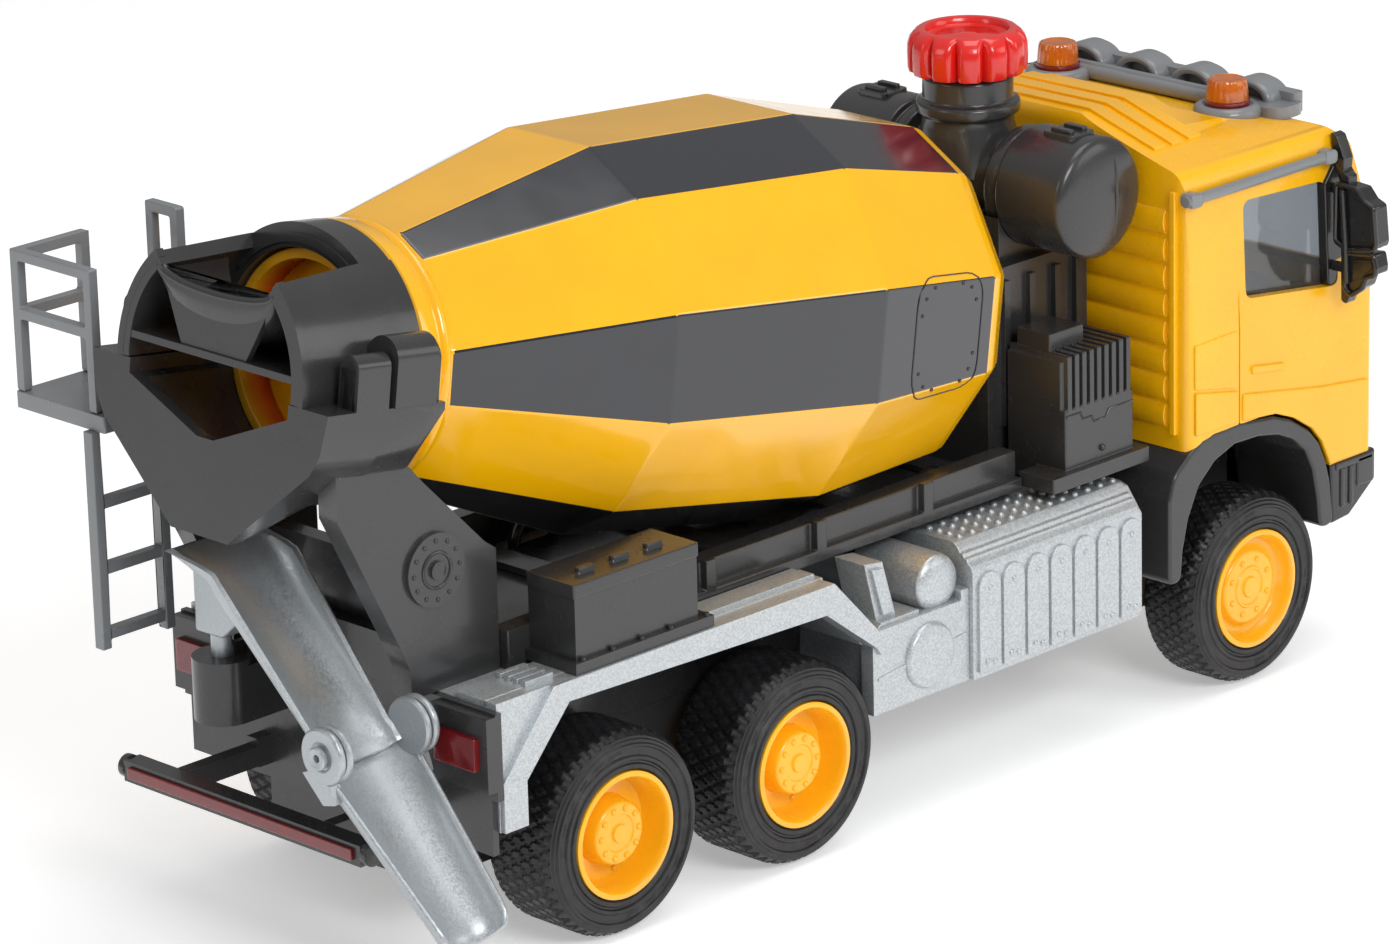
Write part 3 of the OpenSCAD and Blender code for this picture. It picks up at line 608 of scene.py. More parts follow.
def build_tyre(name, x, width, side, body, node):
    profile, first, last = tyre_profile(width)

    def relief(i, j, radius, distance):
        if first <= j < last:
            row = j - first
            groove = (i + row) % TREAD_PITCH == 0 or (i - row) % TREAD_PITCH == 0
            return radius - (TREAD_DEPTH if groove else 0), distance
        if j == 9 and (i // 4) % 3 and (i // 66) % 2:
            return radius, distance + 0.22
        return radius, distance

    shape = Shape(sides=(side,))
    outline = [(r, SIDE_Y - t) for r, t in profile]
    shape.lathe(outline, (x, 0, WHEEL_Z), "y", TYRE_STEPS, relief, closed=True)
    shape.finish(name, body, "tyre", replaces=[node])


REAR_HUB = [
    (9.88, 11), (9.88, 0.15), (9.7, 0.02), (9.1, 0.02), (8.9, 0.3), (8.8, 1.2), (8.4, 4.0), (7.9, 4.9),
    (6.4, 5.0), (5.5, 4.8), (5.2, 3.4), (4.95, 1.9), (4.7, 1.5), (4.4, 1.4), (3.0, 1.4), (2.8, 1.65),
    (1.5, 1.65), (1.3, 1.25), (0.3, 1.15),
]
FRONT_HUB = [
    (9.88, 9), (9.88, 0.15), (9.7, 0.02), (9.1, 0.02), (8.9, 0.3), (8.75, 1.0), (8.3, 2.6), (7.8, 3.0),
    (6.9, 3.0), (6.5, 2.7), (6.2, 1.9), (5.9, 1.62), (5.6, 1.6), (3.6, 1.6), (3.4, 1.35), (3.1, 1.35),
    (2.9, 1.6), (1.8, 1.6), (1.6, 1.2), (0.3, 1.15),
]


# Circles of bolts: count, first turn, circle's radius, depth, then a bolt's radius and height.
REAR_BOLTS = [(10, 0.5, 3.9, 1.4, 0.52, 0.42), (5, 0.3, 7.2, 4.95, 0.5, 0.5)]
FRONT_BOLTS = [(8, 0.5, 4.7, 1.6, 0.52, 0.42)]


def build_hub(name, x, side, body, node):
    profile, circles = (FRONT_HUB, FRONT_BOLTS) if body == "wheels_front" else (REAR_HUB, REAR_BOLTS)
    shape = Shape(sides=(side,))
    shape.lathe([(r, SIDE_Y - t) for r, t in profile], (x, 0, WHEEL_Z), "y", 72)
    for count, first, reach, depth, radius, height in circles:
        for i in range(count):
            angle = 2 * math.pi * (i + first) / count
            centre = (x + reach * math.sin(angle), SIDE_Y - depth, WHEEL_Z + reach * math.cos(angle))
            shape.dome(centre, radius, height, "y", 12)
    shape.finish(name, body, "yellow_plastic", replaces=[node])


def build_wheels():
    for axle, (x, width) in WHEELS.items():
        for word, side in SIDE_NAMES.items():
            body = f"wheels_{axle}"
            build_tyre(f"tread_{axle}_{word}", x, width, side, body, f"tyre_{axle}_{word}")
            build_hub(f"rim_{axle}_{word}", x, side, body, f"hub_{axle}_{word}")


# ---------------------------------------------------------------- drum

# Middle and width of each dark stripe, in degrees from the top.
STRIPES = [(28, 23.6), (90, 30.8), (152, 23.6), (208, 23.6), (270, 30.8), (332, 23.6)]

# Distance along the axis, radius at the corners, share of the stripes' full width.
DRUM_STATIONS = [
    (-2.3, 19.6, 0.75), (-1.7, 20.15, 0.75), (33.7, 30.9, 1), (76.3, 33.3, 1), (105.4, 28.95, 1),
    (107.3, 28.4, 1), (110.3, 26.4, 1), (112.5, 24.0, 1), (114.0, 21.0, 1), (114.6, 17.0, 1),
]


def drum_corners(share):
    return [middle + side * share * width / 2 for middle, width in STRIPES for side in BOTH]


def drum_radius(s):
    for (s0, r0, _), (s1, r1, _) in zip(DRUM_STATIONS, DRUM_STATIONS[1:]):
        if s0 <= s <= s1:
            return r0 + (r1 - r0) * (s - s0) / (s1 - s0)
    return DRUM_STATIONS[-1][1]


def on_drum(s, angle, lift=0.0):
    """A point on the faceted drum: distance along it, angle in degrees from the top."""
    corners = drum_corners(1)
    later = next((a for a in corners if a > angle), corners[0] + 360)
    earlier = max((a for a in corners if a <= angle), default=corners[-1] - 360)
    half = math.radians(later - earlier) / 2
    middle = math.radians((later + earlier) / 2)
    r = drum_radius(s) * math.cos(half) / math.cos(math.radians(angle) - middle) + lift
    return (s, -r * math.sin(math.radians(angle)), r * math.cos(math.radians(angle)))


def build_drum():
    shape = Shape(DRUM)
    count = len(STRIPES) * 2

    def ring(s, radius, share):
        return [
            (s, -radius * math.sin(math.radians(a)), radius * math.cos(math.radians(a)))
            for a in drum_corners(share)
        ]

    outside = [ring(*station) for station in DRUM_STATIONS]
    inside = [ring(-2.2, 17.6, 0.75), ring(0, 17.8, 0.75), ring(33.7, 28.9, 1), ring(105, 27, 1),
              ring(112.5, 12, 1)]
    rings = inside[::-1] + outside
    verts = [[shape.mesh.verts.new(DRUM @ Vector(p)) for p in points] for points in rings]
    for i, (low, high) in enumerate(zip(verts, verts[1:])):
        for j in range(count):
            k = (j + 1) % count
            face = shape.mesh.faces.new([low[j], low[k], high[k], high[j]])
            face.smooth = True
            painted = j % 2 == 0 and len(inside) + 1 <= i <= len(inside) + 3
            face.material_index = int(painted)
    for points in (verts[0], verts[-1]):
        shape.mesh.faces.new(points).smooth = True
    shape.finish("drum_body", "drum", "yellow_paint", "yellow_paint", "stripe_paint",
                 bevel=1.7, segments=5, angle=5, replaces=["drum_shell"])
    collar = Shape(DRUM)
    collar.lathe([
        (16.25, -7.3), (16.6, -7.6), (19.7, -7.65), (20.1, -7.3), (20.15, -5.0), (19.95, -4.4),
        (19.5, -4.0), (19.5, -3.7), (19.95, -3.3), (20.15, -2.9), (20.05, -2.4), (19.6, -2.0),
        (19.4, -1.0), (16.25, -1.0),
    ], (0, 0, 0), "x", 120)
    collar.finish("drum_collar", "drum", "yellow_paint")


# Distance along the drum in millimetres, and angle in degrees from the top.
HATCH_CENTRE = (93.5, 90.5)
HATCH_HALF = (8.8, 18.0)


def hatch_outline(shrink):
    """Rounded rectangle in distance along the drum and angle."""
    (s, a), (hs, ha) = HATCH_CENTRE, HATCH_HALF
    hs, ha = hs - shrink, ha - 1.9 * shrink
    corner = 4.2
    points = []
    for ds, da, start in ((1, 1, 0), (-1, 1, 90), (-1, -1, 180), (1, -1, 270)):
        for step in range(6):
            turn = math.radians(start + 18 * step)
            points.append((
                s + ds * (hs - corner) + corner * math.cos(turn),
                a + da * (ha - 1.9 * corner) + 1.9 * corner * math.sin(turn),
            ))
    dense = []
    for (s0, a0), (s1, a1) in zip(points, points[1:] + points[:1]):
        for i in range(6):
            dense.append((s0 + (s1 - s0) * i / 6, a0 + (a1 - a0) * i / 6))
    return dense


def build_hatch():
    seam = Shape(DRUM)
    seam.tube([on_drum(s, a, 0.02) for s, a in hatch_outline(0)], 0.13, 6, closed=True)
    outline = hatch_outline(1.5)
    for i in range(0, len(outline), len(outline) // 12):
        seam.dome(on_drum(*outline[i], 0.05), 0.32, 0.2, "y", 10, sign=-1)
    seam.finish("drum_hatch", "drum", "yellow_paint", "dark_plastic")


# ---------------------------------------------------------------- knob and cross tank

KNOB_X = 113.7


def build_knob():
    shape = Shape()
    steps, lobes = 288, 12
    profile = [
        (6.2, 103.85), (8.2, 103.85), (8.75, 104.1), (9.0, 104.8), (9.05, 107.0), (9.0, 108.6),
        (8.75, 109.7), (8.4, 110.4), (7.9, 110.85), (7.3, 111.0), (6.8, 110.9), (6.5, 110.5),
        (6.4, 109.9), (5.9, 109.65), (5.2, 109.6), (5.0, 109.75), (1.6, 109.8), (1.3, 110.0),
        (0.2, 110.05),
    ]

    def lobe(i, j, radius, distance):
        turn = lobes * i / steps % 1 - 0.5
        bulge = 0.6 - 1.5 * max(0.0, abs(turn) - 0.2) ** 2 * 12
        share = (0, 0.8, 1, 1, 1, 1, 0.75, 0.3)[j] if j < 8 else 0
        return (radius + share * bulge, distance)

    shape.lathe(profile, (KNOB_X, 0, 0), "z", steps, lobe)
    shape.finish("drive_knob", "knob", "red_plastic", replaces=["knob"])


# Middle of the cross tank: x and z.
TANK = (115.5, 87.0)


def build_cross_tank():
    x, z = TANK
    shape = Shape()
    half = [
        (7.6, 0.0), (7.6, 8.6), (8.2, 9.3), (8.9, 9.6), (9.2, 10.2), (9.2, 11.4), (8.9, 12.0),
        (9.0, 12.4), (9.6, 12.7), (9.85, 13.3), (9.85, 25.2), (9.7, 25.9), (9.2, 26.4), (8.4, 26.75),
        (7.0, 27.1), (5.0, 27.4), (2.8, 27.6), (0.3, 27.65),
    ]
    profile = [(r, -t) for r, t in reversed(half)] + half[1:]
    shape.lathe(profile, (x, 0, z), "y", 96)
    shape.lathe([
        (8.6, 88), (8.2, 92.5), (7.5, 95.4), (7.3, 96.6), (7.5, 97.1), (8.3, 97.5), (8.4, 98.1),
        (8.4, 99.0), (8.1, 99.4), (7.5, 99.6), (7.3, 100.0), (7.3, 103.0), (7.0, 103.4), (3.1, 103.4),
        (3.1, 102.5),
    ], (KNOB_X, 0, 0), "z", 72)
    for side in BOTH:
        ridge = [(x + 2.6, side * (26.0 + 1.55 * (1 - (t / 8.8) ** 2)), z + t) for t in range(-8, 9)]
        shape.tube(ridge, 0.42, 8)
    shape.sides = BOTH
    shape.prism(rounded(rectangle(x - 3.2, 17.0, x + 2.6, 23.4), 1.0), z + 8.6, z + 10.2, "z")
    for clip_x in (x - 2.4, x + 0.6):
        shape.box((clip_x, 18.2, z + 10.0), (clip_x + 1.2, 22.2, z + 10.8))
    shape.finish("drive_tank", "chassis", "charcoal_plastic", bevel=0.2, replaces=["cross_tank"])


# ---------------------------------------------------------------- hopper

# In the drum's frame: height of the joint with the cradle, then distances along the axis.
SPLIT_H = -1.5
REAR_S = -31.0
ARCH_REAR = -14.0
ARCH_FRONT = -8.05


def wall_half_angle(radius):
    """Angle below +Y at which a wall of this radius meets the cradle."""
    return math.degrees(math.asin(SPLIT_H / radius))


def arched_wall(shape, stations, thick, count=28):
    """A curved wall about the drum's axis; a station is s, radius, and two angles from +Y to the top."""
    rings = []
    for s, radius, start, end in stations:
        outer = arc((0, 0), radius, start, end, count)
        inner = arc((0, 0), radius - thick, end, start, count)
        rings.append([(s, y, h) for y, h in outer + inner])
    shape.grid(rings)


# Distance along the axis and height of the funnel's lowest line.
BOWL = [
    (-31.0, 10.9), (-30.7, 9.8), (-30.3, 7.9), (-29.7, 6.6), (-28.6, 5.6), (-26.8, 4.8), (-24.0, 4.1),
    (-20.8, 3.6), (-17.6, 3.3),
]
BOWL_HALF = 12.3


def bowl_top(s):
    return 13.3 + 0.09 * (s + 31)


def bowl_curve(s, bottom, thick=0.0, count=33):
    """The funnel's section at s: from one wall, down to the middle and up to the other wall."""
    top = bowl_top(s)
    points = []
    for i in range(count):
        turn = math.pi * i / (count - 1)
        y = -(BOWL_HALF + 0.4 * thick) * math.cos(turn)
        points.append((s, y, top - (top - bottom + thick) * math.sin(turn) ** 0.9))
    return points


def build_hopper():
    shape = Shape(DRUM)
    low = wall_half_angle(20.2)
    arched_wall(shape, [(ARCH_REAR, 20.15, low, 180 - low), (ARCH_FRONT, 20.15, low, 180 - low)], 3.7, 72)
    arched_wall(shape, [(ARCH_REAR - 0.4, 18.6, 40, 140), (ARCH_REAR + 0.5, 18.6, 40, 140)], 1.4, 40)
    shape.box((REAR_S + 0.1, -17.9, 1.5), (-17.5, 17.9, 2.6))
    brim = bowl_curve(REAR_S, BOWL[0][1])
    back_plate = [(6.8, 2.2), (-6.8, 2.2)] + [(y, h - 0.4) for _, y, h in brim]
    shape.prism(back_plate, REAR_S + 0.6, REAR_S + 1.7, "x")
    shape.grid([bowl_curve(s, bottom) + bowl_curve(s, bottom, 1.1)[::-1] for s, bottom in BOWL])
    shape.tube([(s + 0.75, y, h) for s, y, h in brim], 0.8, 12)
    shape.sides = BOTH
    low = wall_half_angle(19.9)
    arched_wall(shape, [
        (REAR_S, 19.9, low, 49), (-27, 19.95, low, 50.5), (-22, 20.1, low, 52), (-17, 20.3, low, 53.5),
        (ARCH_REAR, 20.4, low, 54.4), (ARCH_FRONT, 20.4, low, 54.4),
    ], 2.3)
    arched_wall(shape, [(REAR_S - 0.05, 20.15, low, 49.4), (REAR_S + 1.3, 20.15, low, 49.8)], 1.3)
    ear = [(19.4, SPLIT_H), (26.1, SPLIT_H)] + arc((22.8, 5.2), 3.3, 0, 180, 20)
    shape.prism(ear, -18.6, -10.6, "x")
    web = [(19.4, SPLIT_H), (24.4, SPLIT_H)] + arc((21.6, 4.4), 2.8, 0, 180, 20)
    shape.prism(web, -10.7, -8.6, "x")
    shape.finish("hopper_body", "chassis", "charcoal_plastic", bevel=0.3, segments=3, replaces=["hopper"])
    clips = Shape(DRUM, BOTH)
    clips.prism(rounded(rectangle(21.4, -2.6, 25.5, 6.1), [0, 0, 1.9, 1.9], 8), -25.6, -19.3, "x")
    clips.finish("cradle_clips", "chassis", "charcoal_plastic", bevel=0.5, segments=3)


# ---------------------------------------------------------------- chute


def half_oval(half, depth, rim, lip, count):
    """Points from one rim down and up to the other, the two ends lowered by the lip's rounding."""
    steps = [math.pi * i / count for i in range(count + 1)]
    points = [(-half * math.cos(t), rim - depth * math.sin(t)) for t in steps]
    points[0] = (points[0][0], rim - lip)
    points[-1] = (points[-1][0], rim - lip)
    return points


def trough_ring(a, half, depth, rim, wall, lip=0.35, count=20):
    """One closed section of an open trough with rounded rims."""
    outer = half_oval(half, depth, rim, lip, count)
    inner = half_oval(half - wall, depth - wall, rim, lip, count)[::-1]
    crest = half - wall / 2
    return [(a, y, n) for y, n in outer + [(crest, rim)] + inner + [(-crest, rim)]]


EAR_RADIUS = 4.35


def add_ears(shape, inner, outer):
    """Round ears about the hinge, one on each side of a trough."""
    shape.sides = BOTH
    shape.lathe([
        (1.45, inner), (EAR_RADIUS - 0.3, inner), (EAR_RADIUS, inner + 0.3), (EAR_RADIUS, outer - 0.35),
        (EAR_RADIUS - 0.35, outer), (2.3, outer), (2.0, outer - 0.25), (1.45, outer - 0.25),
    ], (0, 0, 0), "y", 56)


def build_chute():
    upper = Shape(chute_frame(UPPER_SLOPE))
    rings = []
    for a in (-39.9, -39.2, -38, -36, -34, -32, -28, -22, -16, -10, -6, -3, -1.4, 0, 0.75):
        t = (a + 40) / 40.8
        half = 9 + (7.6 - 9) * t
        depth = 8.2 + (3.4 - 8.2) * t
        drop = max(0.0, (-32 - a) / 8) ** 1.15 * 6.3
        end = 0.35 if a > -2 else 0.0
        rings.append(trough_ring(a, half - 0.35 + end, depth - 0.35 + end - drop, -2.4 - drop, 1.1))
    upper.grid(rings)
    add_ears(upper, 7.05, 8.25)
    upper.finish("chute_top", "chute", "silver_metal", "smooth_silver", bevel=0.3,
                 replaces=["chute_upper"])
    lug = Shape()
    outline = [(9.5, 47.1), (15.5, 47.1), (15.5, 57.5), (11.4, 61.4), (4.0, 55.2), (3.4, 52.4)]
    lug.prism(outline, -39.0, -34.0, "x")
    lug.finish("chute_lug", "chute", "silver_metal", "smooth_silver", bevel=0.5)
    lower = Shape(chute_frame(LOWER_SLOPE))
    rings = []
    for a in (-0.95, 0, 2, 5.4, 9, 14, 20, 26, 29, 30.6, 31.6, 32.2, 32.35):
        t = (a + 1) / 33.4
        half = 9.2 + (6.6 - 9.2) * t
        depth = 5.6 + (5.2 - 5.6) * t
        end = max(0.0, (a - 29) / 3.4) ** 3 * 0.5
        rings.append(trough_ring(a, half - end, depth, -1.9 - 2.4 * end, 1.05))
    lower.grid(rings)
    add_ears(lower, 8.5, 9.8)
    lower.prism([(-0.8, -5.4), (5.2, -5.4), (6.6, -3.2), (4.0, -1.9), (0, -3.6)], 7.6, 9.7, "y")
    lower.finish("chute_bottom", "chute_end", "silver_metal", "smooth_silver", bevel=0.3,
                 replaces=["chute_lower"])
    pins = Shape()
    middle, reach = -40.2, 10
    for side in BOTH:
        x = middle + side * reach
        head = [(0.5, -0.3), (0.62, 0.55), (1.5, 0.75), (1.75, 0.55), (1.75, 0.1), (1.25, 0), (1.25, -3),
                (0.5, -3)]
        pins.lathe([(r, x + side * t) for r, t in head], (0, -24, 40.2), "x", 32)
    pins.finish("chute_rivets", "chute", "steel", "smooth_silver", replaces=["chute_pins"])


# ---------------------------------------------------------------- side castings

TANK_BACK = 76.4
TANK_FRONT = 116.6


def build_side_tank(word, side):
    shape = Shape(sides=(side,))
    body = [
        (34.3, 19.0), (34.35, 36.6), (34.0, 37.6), (33.3, 38.1), (33.0, 38.7), (32.5, 38.8), (32.2, 39.4),
        (31.6, 39.5), (31.2, 40.2), (30.4, 40.9), (29.4, 41.0), (17.0, 41.0), (17.0, 19.0),
    ]
    shape.prism(body, TANK_BACK, TANK_FRONT - 0.9, "x")
    end = [(34.0, 19.3), (34.0, 36.2), (31.0, 40.2), (29.4, 40.7), (17.2, 40.7), (17.2, 19.3)]
    shape.prism(end, TANK_FRONT - 1.2, TANK_FRONT, "x")
    for i in range(7):
        left = TANK_BACK + 1.0 + 5.55 * i
        right = left + 4.9
        middle = (left + right) / 2
        outline = [(right, 20.0)] + arc((middle, 33.8), 2.45, 0, 180, 14) + [(left, 20.0)]
        shape.prism(outline, 34.2, 34.85, "y")
        for dx, z in ((0, 33.6), (-0.8, 21.6), (0.9, 21.2)):
            shape.dome((middle + dx, 34.85, z), 0.5, 0.34, "y", 12)
    for i in range(13):
        for j in range(4):
            shape.dome((TANK_BACK + 2.2 + 3 * i, 29.4 - 2.1 * j, 41.0), 0.62, 0.55, "z", 10)
    block = [(55.4, 19.0), (TANK_BACK, 19.0), (TANK_BACK, 34.2), (74.6, 34.2), (74.6, 32.6), (55.4, 32.6)]
    shape.prism(block, 17.0, 33.5, "y")
    shape.prism([(55.6, 24.4), (75.6, 26.6), (75.6, 27.2), (55.6, 25.0)], 33.4, 33.7, "y")
    cover = [(5.35, 33.3), (5.3, 33.8), (4.9, 34.3), (4.0, 34.5), (2.4, 34.6), (0.3, 34.6)]
    shape.lathe(cover, (67.1, 0, 25.7), "y", 48)
    air_tank = [
        (4.7, 18), (4.7, 30.8), (4.5, 31.4), (4.55, 31.7), (4.2, 32.3), (3.2, 32.8), (1.8, 33.0),
        (0.3, 33.05),
    ]
    shape.lathe(air_tank, (70.6, 0, 36.2), "y", 48)
    slanted = [(55.4, 42.9), (59.4, 42.5), (62.4, 32.5), (58.0, 32.5)]
    shape.prism(slanted, 24.8, 31.2, "y")
    shape.prism([(56.3, 42.0), (58.8, 41.7), (61.1, 34.0), (58.7, 34.0)], 31.0, 31.9, "y")
    shape.prism([(56.6, 32.5), (66.0, 32.5), (66.0, 33.3), (57.6, 33.3)], 24.8, 32.6, "y")
    shape.finish(f"tank_casting_{word}", "chassis", "silver_metal", bevel=0.42, segments=3,
                 replaces=[f"side_tank_{word}"])


PEDESTAL_BOSS = (-24.6, 61.4)
BOSS_FACE = 22.3


def build_boss_details():
    """Rivets and a ring on the pedestal's round bosses, and the cooler's raised panel lines."""
    shape = Shape()
    x, z = PEDESTAL_BOSS

    def on_boss(reach, turn, side=1):
        return (x + reach * math.cos(turn), side * BOSS_FACE, z + reach * math.sin(turn))

    for side in BOTH:
        shape.tube([on_boss(2.7, turn, side) for turn in turns(36)], 0.28, 8, closed=True)
    panel = [
        (103.6, 54.4), (107.0, 54.4), (107.6, 53.2), (109.6, 53.2), (110.2, 52.2), (113.0, 52.2),
        (113.6, 53.4), (119.4, 53.4),
    ]
    shape.tube([(a, -29.62, b) for a, b in panel], 0.2, 8)
    shape.dome((112.0, -29.6, 47.4), 0.6, 0.7, "y", 14, sign=-1)
    shape.sides = BOTH
    for turn in turns(12):
        shape.dome(on_boss(4.5, turn), 0.38, 0.3, "y", 12)
    shape.finish("boss_details", "chassis", "charcoal_plastic")


def build_fender(word, side):
    shape = Shape(sides=(side,))
    outline = [
        (-24.4, 23.4), (-24.4, 43.4), (45.4, 43.4), (55.4, 32.7), (55.4, 19.0), (54.5, 19.0),
        (54.5, 30.4), (43.6, 38.7), (-10.6, 40.2), (-19.6, 30.4), (-19.6, 23.4),
    ]
    shape.prism(outline, 31.0, 33.6, "y")
    band = [
        (-24.3, 23.5), (-24.3, 31.2), (-13.6, 43.4), (45.4, 43.4), (55.4, 32.7), (55.4, 29.0),
        (54.5, 30.4), (43.6, 38.7), (-10.6, 40.2), (-19.6, 30.4), (-19.6, 23.5),
    ]
    shape.prism(band, 33.4, 34.55, "y")
    end = [(-24.3, 23.5), (-24.3, 30.6), (-23.6, 31.4), (-19.6, 31.0), (-19.6, 23.5)]
    shape.prism(end, 34.4, 34.6, "y")
    shape.box((-24.4, 17.0, 41.4), (46.5, 31.2, 42.6))
    shape.box((-24.4, 24.8, 42.4), (46.0, 31.4, 43.5))
    shape.prism([(46.4, 42.6), (55.4, 32.7), (55.4, 30.2), (54.4, 30.2), (46.4, 40.0)], 17.0, 31.2, "y")
    shape.box((20.6, 27.4, 43.3), (45.0, 30.6, 44.2))
    for i in range(4):
        y = 25.6 + 1.75 * i
        shape.box((-16.8, y, 43.3), (-11.2, y + 1.0, 44.3))
    shape.finish(f"fender_casting_{word}", "chassis", "silver_metal", bevel=0.45, segments=3,
                 replaces=[f"fender_{word}"])


# ---------------------------------------------------------------- cab


CAB_SIDE = [
    (127.5, 43.4), (127.5, 96.5), (140, 95.6), (150, 92), (164, 89.8), (168.6, 86.4), (171.4, 78),
    (173.4, 62), (174.2, 58), (174.2, 32.6), (162.8, 32.6), (161.4, 37.6), (157.6, 42.6), (149.5, 45.3),
    (133, 45.3), (129.4, 43.4),
]
CAB_SIDE_ROUNDING = [0, 3.2, 8, 8, 5, 4, 6, 6, 4, 1, 0, 4, 6, 5, 4, 0]
CAB_ROOF = [(11, 95.6), (22, 92.2), (32.2, 89.2), (33.4, 86.8)]
SIDE_WINDOW = [(141.6, 66.0), (141.6, 82.2), (161.8, 81.2), (165.0, 63.0)]
WINDSCREEN = [(-29.6, 64), (-28, 85), (28, 85), (29.6, 64)]


def cab_block(inset, rounding):
    """The cab's outer form, or the room inside it, as what three outlines share."""
    low, high = 127.5 + inset, 174.2 - inset
    half = 34.6 - inset
    side = [(min(max(x, low), high), z - inset if z > 60 else z) for x, z in CAB_SIDE]
    section = mirrored([(y - inset / 2, z - inset) for y, z in CAB_ROOF] + [(half, 61), (half, 30)])
    plan = [(low, -half), (high, -half), (high, half), (low, half)]
    block, rear_view, top_view = Shape(), Shape(), Shape()
    block.prism(rounded(side, CAB_SIDE_ROUNDING), -40, 40, "y")
    rear_view.prism(rounded(section, 3.4 * rounding), 120, 180, "x")
    top_view.prism(rounded(plan, 2.6 * rounding), 25, 100, "z")
    return carve(block, [("INTERSECT", rear_view), ("INTERSECT", top_view)])


def build_cab():
    opening = Shape()
    opening.box((129.4, -32.8, 29), (158, 32.8, 50))
    windows, windscreen, seams = Shape(), Shape(), Shape(sides=BOTH)
    windows.prism(rounded(SIDE_WINDOW, 1.8), -41, 41, "y")
    windscreen.prism(rounded(WINDSCREEN, 2.5), 160, 181, "x")
    seams.box((139.6, 34.25, 44), (139.95, 36, 84.4))
    room = cab_block(1.8, 0.4)
    shape = carve(cab_block(0, 1), [
        ("DIFFERENCE", room), ("DIFFERENCE", opening), ("DIFFERENCE", windows),
        ("DIFFERENCE", windscreen), ("DIFFERENCE", seams),
    ])
    for face in shape.mesh.faces:
        face.smooth = True
    shape.finish("cab_body", "chassis", "yellow_paint", "cab_paint", bevel=0.22, angle=40,
                 replaces=["cab_shell"])
    panes = Shape()
    windscreen_pane = [(171.0, 63.2), (168.9, 78), (166.2, 86.1), (165.8, 86.1), (168.4, 78),
                       (170.5, 63.2)]
    panes.prism(windscreen_pane, -30.4, 30.4, "y")
    panes.sides = BOTH
    panes.prism([(141.0, 65.4), (141.0, 82.8), (162.4, 81.8), (165.8, 62.4)], 32.0, 32.4, "y")
    panes.finish("cab_panes", "chassis", "window", replaces=["cab_glazing"])


RIB_HALF = 25


def roof_path(lift):
    half = [(y, z + lift) for y, z in CAB_ROOF[:2]]
    half.append((RIB_HALF, CAB_ROOF[1][1] - 0.3 * (RIB_HALF - CAB_ROOF[1][0]) + lift))
    return mirrored(half)


# Raised panels of a door: outline, rounding of the corners, lift above the door.
DOOR_PANELS = [
    ([(128.8, 46), (139.2, 46), (139.2, 51.2), (128.8, 53.3)], 0.5, 0.4),
    ([(128.8, 53.7), (139.2, 51.6), (139.2, 61.4), (128.8, 61.2)], 0.5, 0.2),
    ([(140.4, 45.8), (148.6, 45.0), (153.2, 43.2), (157.9, 40.2), (160.4, 37.4), (162.1, 33.9),
      (162.5, 32.9), (172.2, 32.9), (172.2, 45.4), (160, 46.9), (140.4, 50.4)], 0.6, 0.4),
    ([(142.6, 53.2), (150.6, 52.1), (150.6, 53.3), (142.6, 54.6)], 0.5, 0.5),
]


def build_cab_trim():
    """Raised ribs and panels that stand on the cab's skin."""
    ribs = Shape()
    for x in (130.2, 134.4, 138.6, 142.8):
        drop = 0.0 if x < 139 else 0.25 * (x - 138)
        rows = zip(roof_path(-0.8 - drop), roof_path(0.55 - drop))
        ribs.grid([[(x, *low), (x + 2.9, *low), (x + 2.9, *high), (x, *high)] for low, high in rows])
    ribs.sides = BOTH
    ribs.box((126.8, 7.2, 46.0), (127.8, 8.6, 86))
    ribs.box((126.8, 30.8, 46.0), (127.8, 32.0, 86.5))
    half_circle = [math.radians(v) for v in range(-90, 91, 15)]
    for i in range(8):
        middle = 48.9 + 4.6 * i
        pillow = [(127.9 - 1.2 * math.cos(a), middle + 2.2 * math.sin(a)) for a in half_circle]
        ribs.prism(pillow, 9.8, 29.8, "y")
    ribs.finish("cab_ribs", "chassis", "yellow_paint", "cab_paint", bevel=0.3, segments=3)
    panels = Shape(sides=BOTH)
    for outline, rounding, lift in DOOR_PANELS:
        panels.prism(rounded(outline, rounding), 33.9, SIDE_Y + lift, "y")
    panels.finish("door_panels", "chassis", "yellow_paint", "cab_paint", bevel=0.3, segments=3)
    pillars = Shape(sides=BOTH)
    pillar = [(162.4, 63.4), (165.6, 63.0), (166.6, 84.2), (163.6, 83.4), (161.4, 80.8)]
    pillars.prism(rounded(pillar, 0.6), 32.4, 34.3, "y")
    pillars.finish("door_pillars", "chassis", "dark_plastic", bevel=0.3)
    ends = Shape(sides=BOTH)
    for x in (126.9, 160.2):
        ends.prism(rounded(rectangle(x, 84.2, x + 3.0, 86.6), 1.1), 33.0, 35.6, "y")
    ends.finish("drip_bar_ends", "chassis", "grey_plastic", bevel=0.35)
    bumper = Shape(sides=BOTH)
    for x in (165.4, 167.6):
        bumper.box((x, 34.2, 24.6), (x + 1.0, 35.0, 31.4))
    bumper.box((164.2, 34.2, 31.2), (173.6, 34.9, 32.5))
    bumper.box((169.6, 34.2, 27.2), (173.8, 34.9, 32.2))
    bumper.finish("bumper_steps", "chassis", "charcoal_plastic", bevel=0.3)


